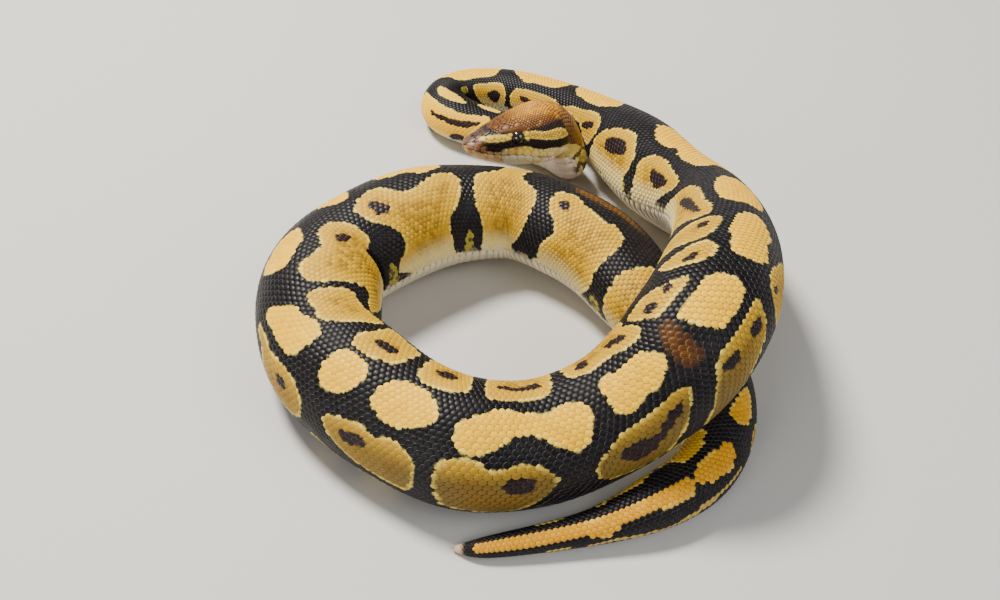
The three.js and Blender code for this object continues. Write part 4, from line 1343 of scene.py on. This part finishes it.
def unrolled(place, s):
    """Distances along and angles of places near the head, from a first guess of their distances."""
    for _ in range(2):
        r = rows_at(s)
        ahead = np.cross(r[..., UP], r[..., SIDE])
        s = np.clip(s + ((place - r[..., POINT]) * ahead).sum(-1), 0.02, 60)
    r = rows_at(s)
    off = place - r[..., POINT]
    aside, up = (off * r[..., SIDE]).sum(-1), (off * r[..., UP]).sum(-1)
    high = np.where(up > 0, r[..., TOP], r[..., UNDER])
    return s, np.degrees(np.arctan2(aside / r[..., HALF], up / high))


def make_head_plates():
    seeds = head_seeds()
    s0, a0, radius, shown = seeds.T
    points = outer_surface(s0, a0)
    along = normalised(outer_surface(s0 + 0.3, a0) - outer_surface(np.maximum(s0 - 0.3, 0), a0))
    across = np.cross(outward_normal(s0, a0), along)
    theta = 2 * math.pi * np.arange(SCALE_SIDES) / SCALE_SIDES
    used = np.flatnonzero((shown > 0) & (s0 < HEAD_COAT_END))
    x, y, _ = SCALE_POINTS.T
    spoke = np.round(np.arctan2(y, x) / (2 * math.pi) * SCALE_SIDES).astype(int) % SCALE_SIDES
    reaches = plate_reaches(seeds, used, points, along, across, theta)
    reach = reaches[:, spoke] * by_ring(1.0, 1.0, 0.82, 0)[None]
    place = (points[used][:, None] + (reach * np.cos(theta[spoke])[None])[..., None] * along[used][:, None]
             + (reach * np.sin(theta[spoke])[None])[..., None] * across[used][:, None])
    s, angle = unrolled(place, np.broadcast_to(s0[used][:, None], reach.shape))
    chance = RANDOM.random(len(used))
    thickness = 0.55 + 0.45 * np.minimum(radius[used][:, None], 1.0)
    height = by_ring(-0.15, 0.25, 0.33, 0.345)[None] * thickness - coat_depth(s) + 0.02
    where = lifted(s, angle, height)
    whole = skin_colour(s0[used], a0[used], chance)[:, None]
    fine = skin_colour(s.ravel(), angle.ravel(), np.repeat(chance, len(x))).reshape(*s.shape, 3)
    # painted shade by ring: the foot of each plate's walls darkest, its edge a little darker
    colours = (whole * 0.2 + fine * 0.8) * by_ring(0.6, 0.92, 1.0, 0.98)[None, :, None]
    patch = bake_patches(on_map(s0[used] / HEAD_COAT_END, 0.02), on_map((a0[used] + 180) / 360, 0.02),
                         x * PATCH / 2, y * PATCH / 2)
    return make_piece("head_plates", where.reshape(-1, 3), copies(SCALE, len(used)), colours.reshape(-1, 3),
                      PLATE_MATERIAL, patch)


# ---- eyes ----
EYE_BLACK = linear(14, 11, 11)
IRIS_BROWN = linear(46, 32, 24)
PUPIL_BLACK = linear(6, 5, 5)
IRIS_RADIUS, PUPIL_HALF_WIDTH, PUPIL_HALF_HEIGHT = 0.72, 0.14, 0.5
CORNEA_RISE, CORNEA_REACH = 0.02, 30       # share of the radius, degrees


def make_eye(name, side):
    """A dark glossy eye with a faint upright pupil."""
    nothing_selected()
    bpy.ops.mesh.primitive_uv_sphere_add(segments=64, ring_count=40, radius=1, location=(0, 0, 0))
    ball = bpy.context.object
    bpy.ops.object.shade_smooth()
    co = np.array([v.co for v in ball.data.vertices])
    r = rows_at(EYE_ALONG)
    ahead = np.cross(r[UP], r[SIDE])
    outward = normalised(r[SIDE] * side * 0.93 + r[UP] * 0.30 - ahead * 0.22)
    up = normalised(r[UP] - (r[UP] @ outward) * outward)
    front = np.cross(outward, up)
    centre = r[POINT] + side * EYE_ASIDE * r[SIDE] + EYE_UP * r[UP]
    bulge = 1 + CORNEA_RISE * hump(np.degrees(np.arccos(np.clip(co[:, 2], -1, 1))), CORNEA_REACH)
    place = centre + EYE_RADIUS * bulge[:, None] * (co @ np.stack([front, up, outward]))
    ball.data.vertices.foreach_set("co", (place * MM).astype(np.float32).ravel())
    iris = fall(np.hypot(co[:, 0], co[:, 1]), IRIS_RADIUS, 0.1) * (co[:, 2] > 0)
    pupil = fall(np.hypot(co[:, 0] / PUPIL_HALF_WIDTH, co[:, 1] / PUPIL_HALF_HEIGHT), 1, 0.3) * (co[:, 2] > 0)
    write_markings(ball.data, mixed(mixed(EYE_BLACK, IRIS_BROWN, iris * 0.7), PUPIL_BLACK, pupil))
    ball.data.materials.clear()
    ball.data.materials.append(EYE_MATERIAL)
    ball.name = ball.data.name = name
    ball.data.flip_normals()               # the three directions above mirror the ball
    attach(ball, "root")
    return ball


skin = make_skin()
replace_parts(skin, "head", "jaw", "neck", "trunk_1", "trunk_2", "trunk_3", "trunk_4", "trunk_5", "trunk_6",
            "trunk_7", "trunk_8", "tail")
COAT_NAMES = ["coat_neck", *(f"coat_trunk_{k}" for k in range(1, 9)), "coat_tail"]
COAT_BOUNDS = [37.6, 96, 186, 270, 340, 425, 510, 594, 668, 728, TOTAL]
for coat_name, coat_start, coat_end in zip(COAT_NAMES, COAT_BOUNDS, COAT_BOUNDS[1:]):
    make_coat(coat_name, coat_start, coat_end)
make_scutes()
make_head_plates()
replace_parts(make_eye("eyeball_left", 1), "eye_left")
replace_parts(make_eye("eyeball_right", -1), "eye_right")

# ---- floor and light ----
FLOOR_SIZE, FLOOR_DROP = 16, 0.0001
FLOOR_COLOUR, FLOOR_ROUGHNESS = (0.62, 0.61, 0.59, 1), 0.7
WORLD_COLOUR, WORLD_STRENGTH = (1.0, 0.98, 0.95, 1), 0.25
LIGHTS_AIM = Vector((0, 0, 0.02))
# name, place, size, watts, colour
LIGHTS = [
    ("key light", (-0.42, 0.42, 1.0), 0.32, 28, (1.0, 0.95, 0.87)),
    ("fill light", (0.9, -0.5, 0.9), 0.9, 7, (0.94, 0.97, 1.0)),
    ("low light", (-0.6, -0.9, 0.4), 0.6, 5, (1.0, 0.97, 0.93)),
]


def make_floor():
    nothing_selected()
    bpy.ops.mesh.primitive_plane_add(size=FLOOR_SIZE, location=(0, 0, -FLOOR_DROP))
    floor = bpy.context.object
    floor.name = "floor"
    material = bpy.data.materials.new("studio floor")
    material.use_nodes = True
    shader = material.node_tree.nodes["Principled BSDF"].inputs
    shader["Base Color"].default_value = FLOOR_COLOUR
    shader["Roughness"].default_value = FLOOR_ROUGHNESS
    floor.data.materials.append(material)


def soft_light(name, place, size, watts, colour):
    light = bpy.data.lights.new(name, "AREA")
    light.shape = "DISK"
    light.size = size
    light.energy = watts
    light.color = colour
    holder = bpy.data.objects.new(name, light)
    bpy.context.scene.collection.objects.link(holder)
    holder.location = place
    holder.rotation_euler = (LIGHTS_AIM - Vector(place)).to_track_quat("-Z", "Y").to_euler()


make_floor()
for light_row in LIGHTS:
    soft_light(*light_row)
world = bpy.data.worlds.new("studio")
world.use_nodes = True
background = world.node_tree.nodes["Background"].inputs
background["Color"].default_value = WORLD_COLOUR
background["Strength"].default_value = WORLD_STRENGTH
bpy.context.scene.world = world

nothing_selected()
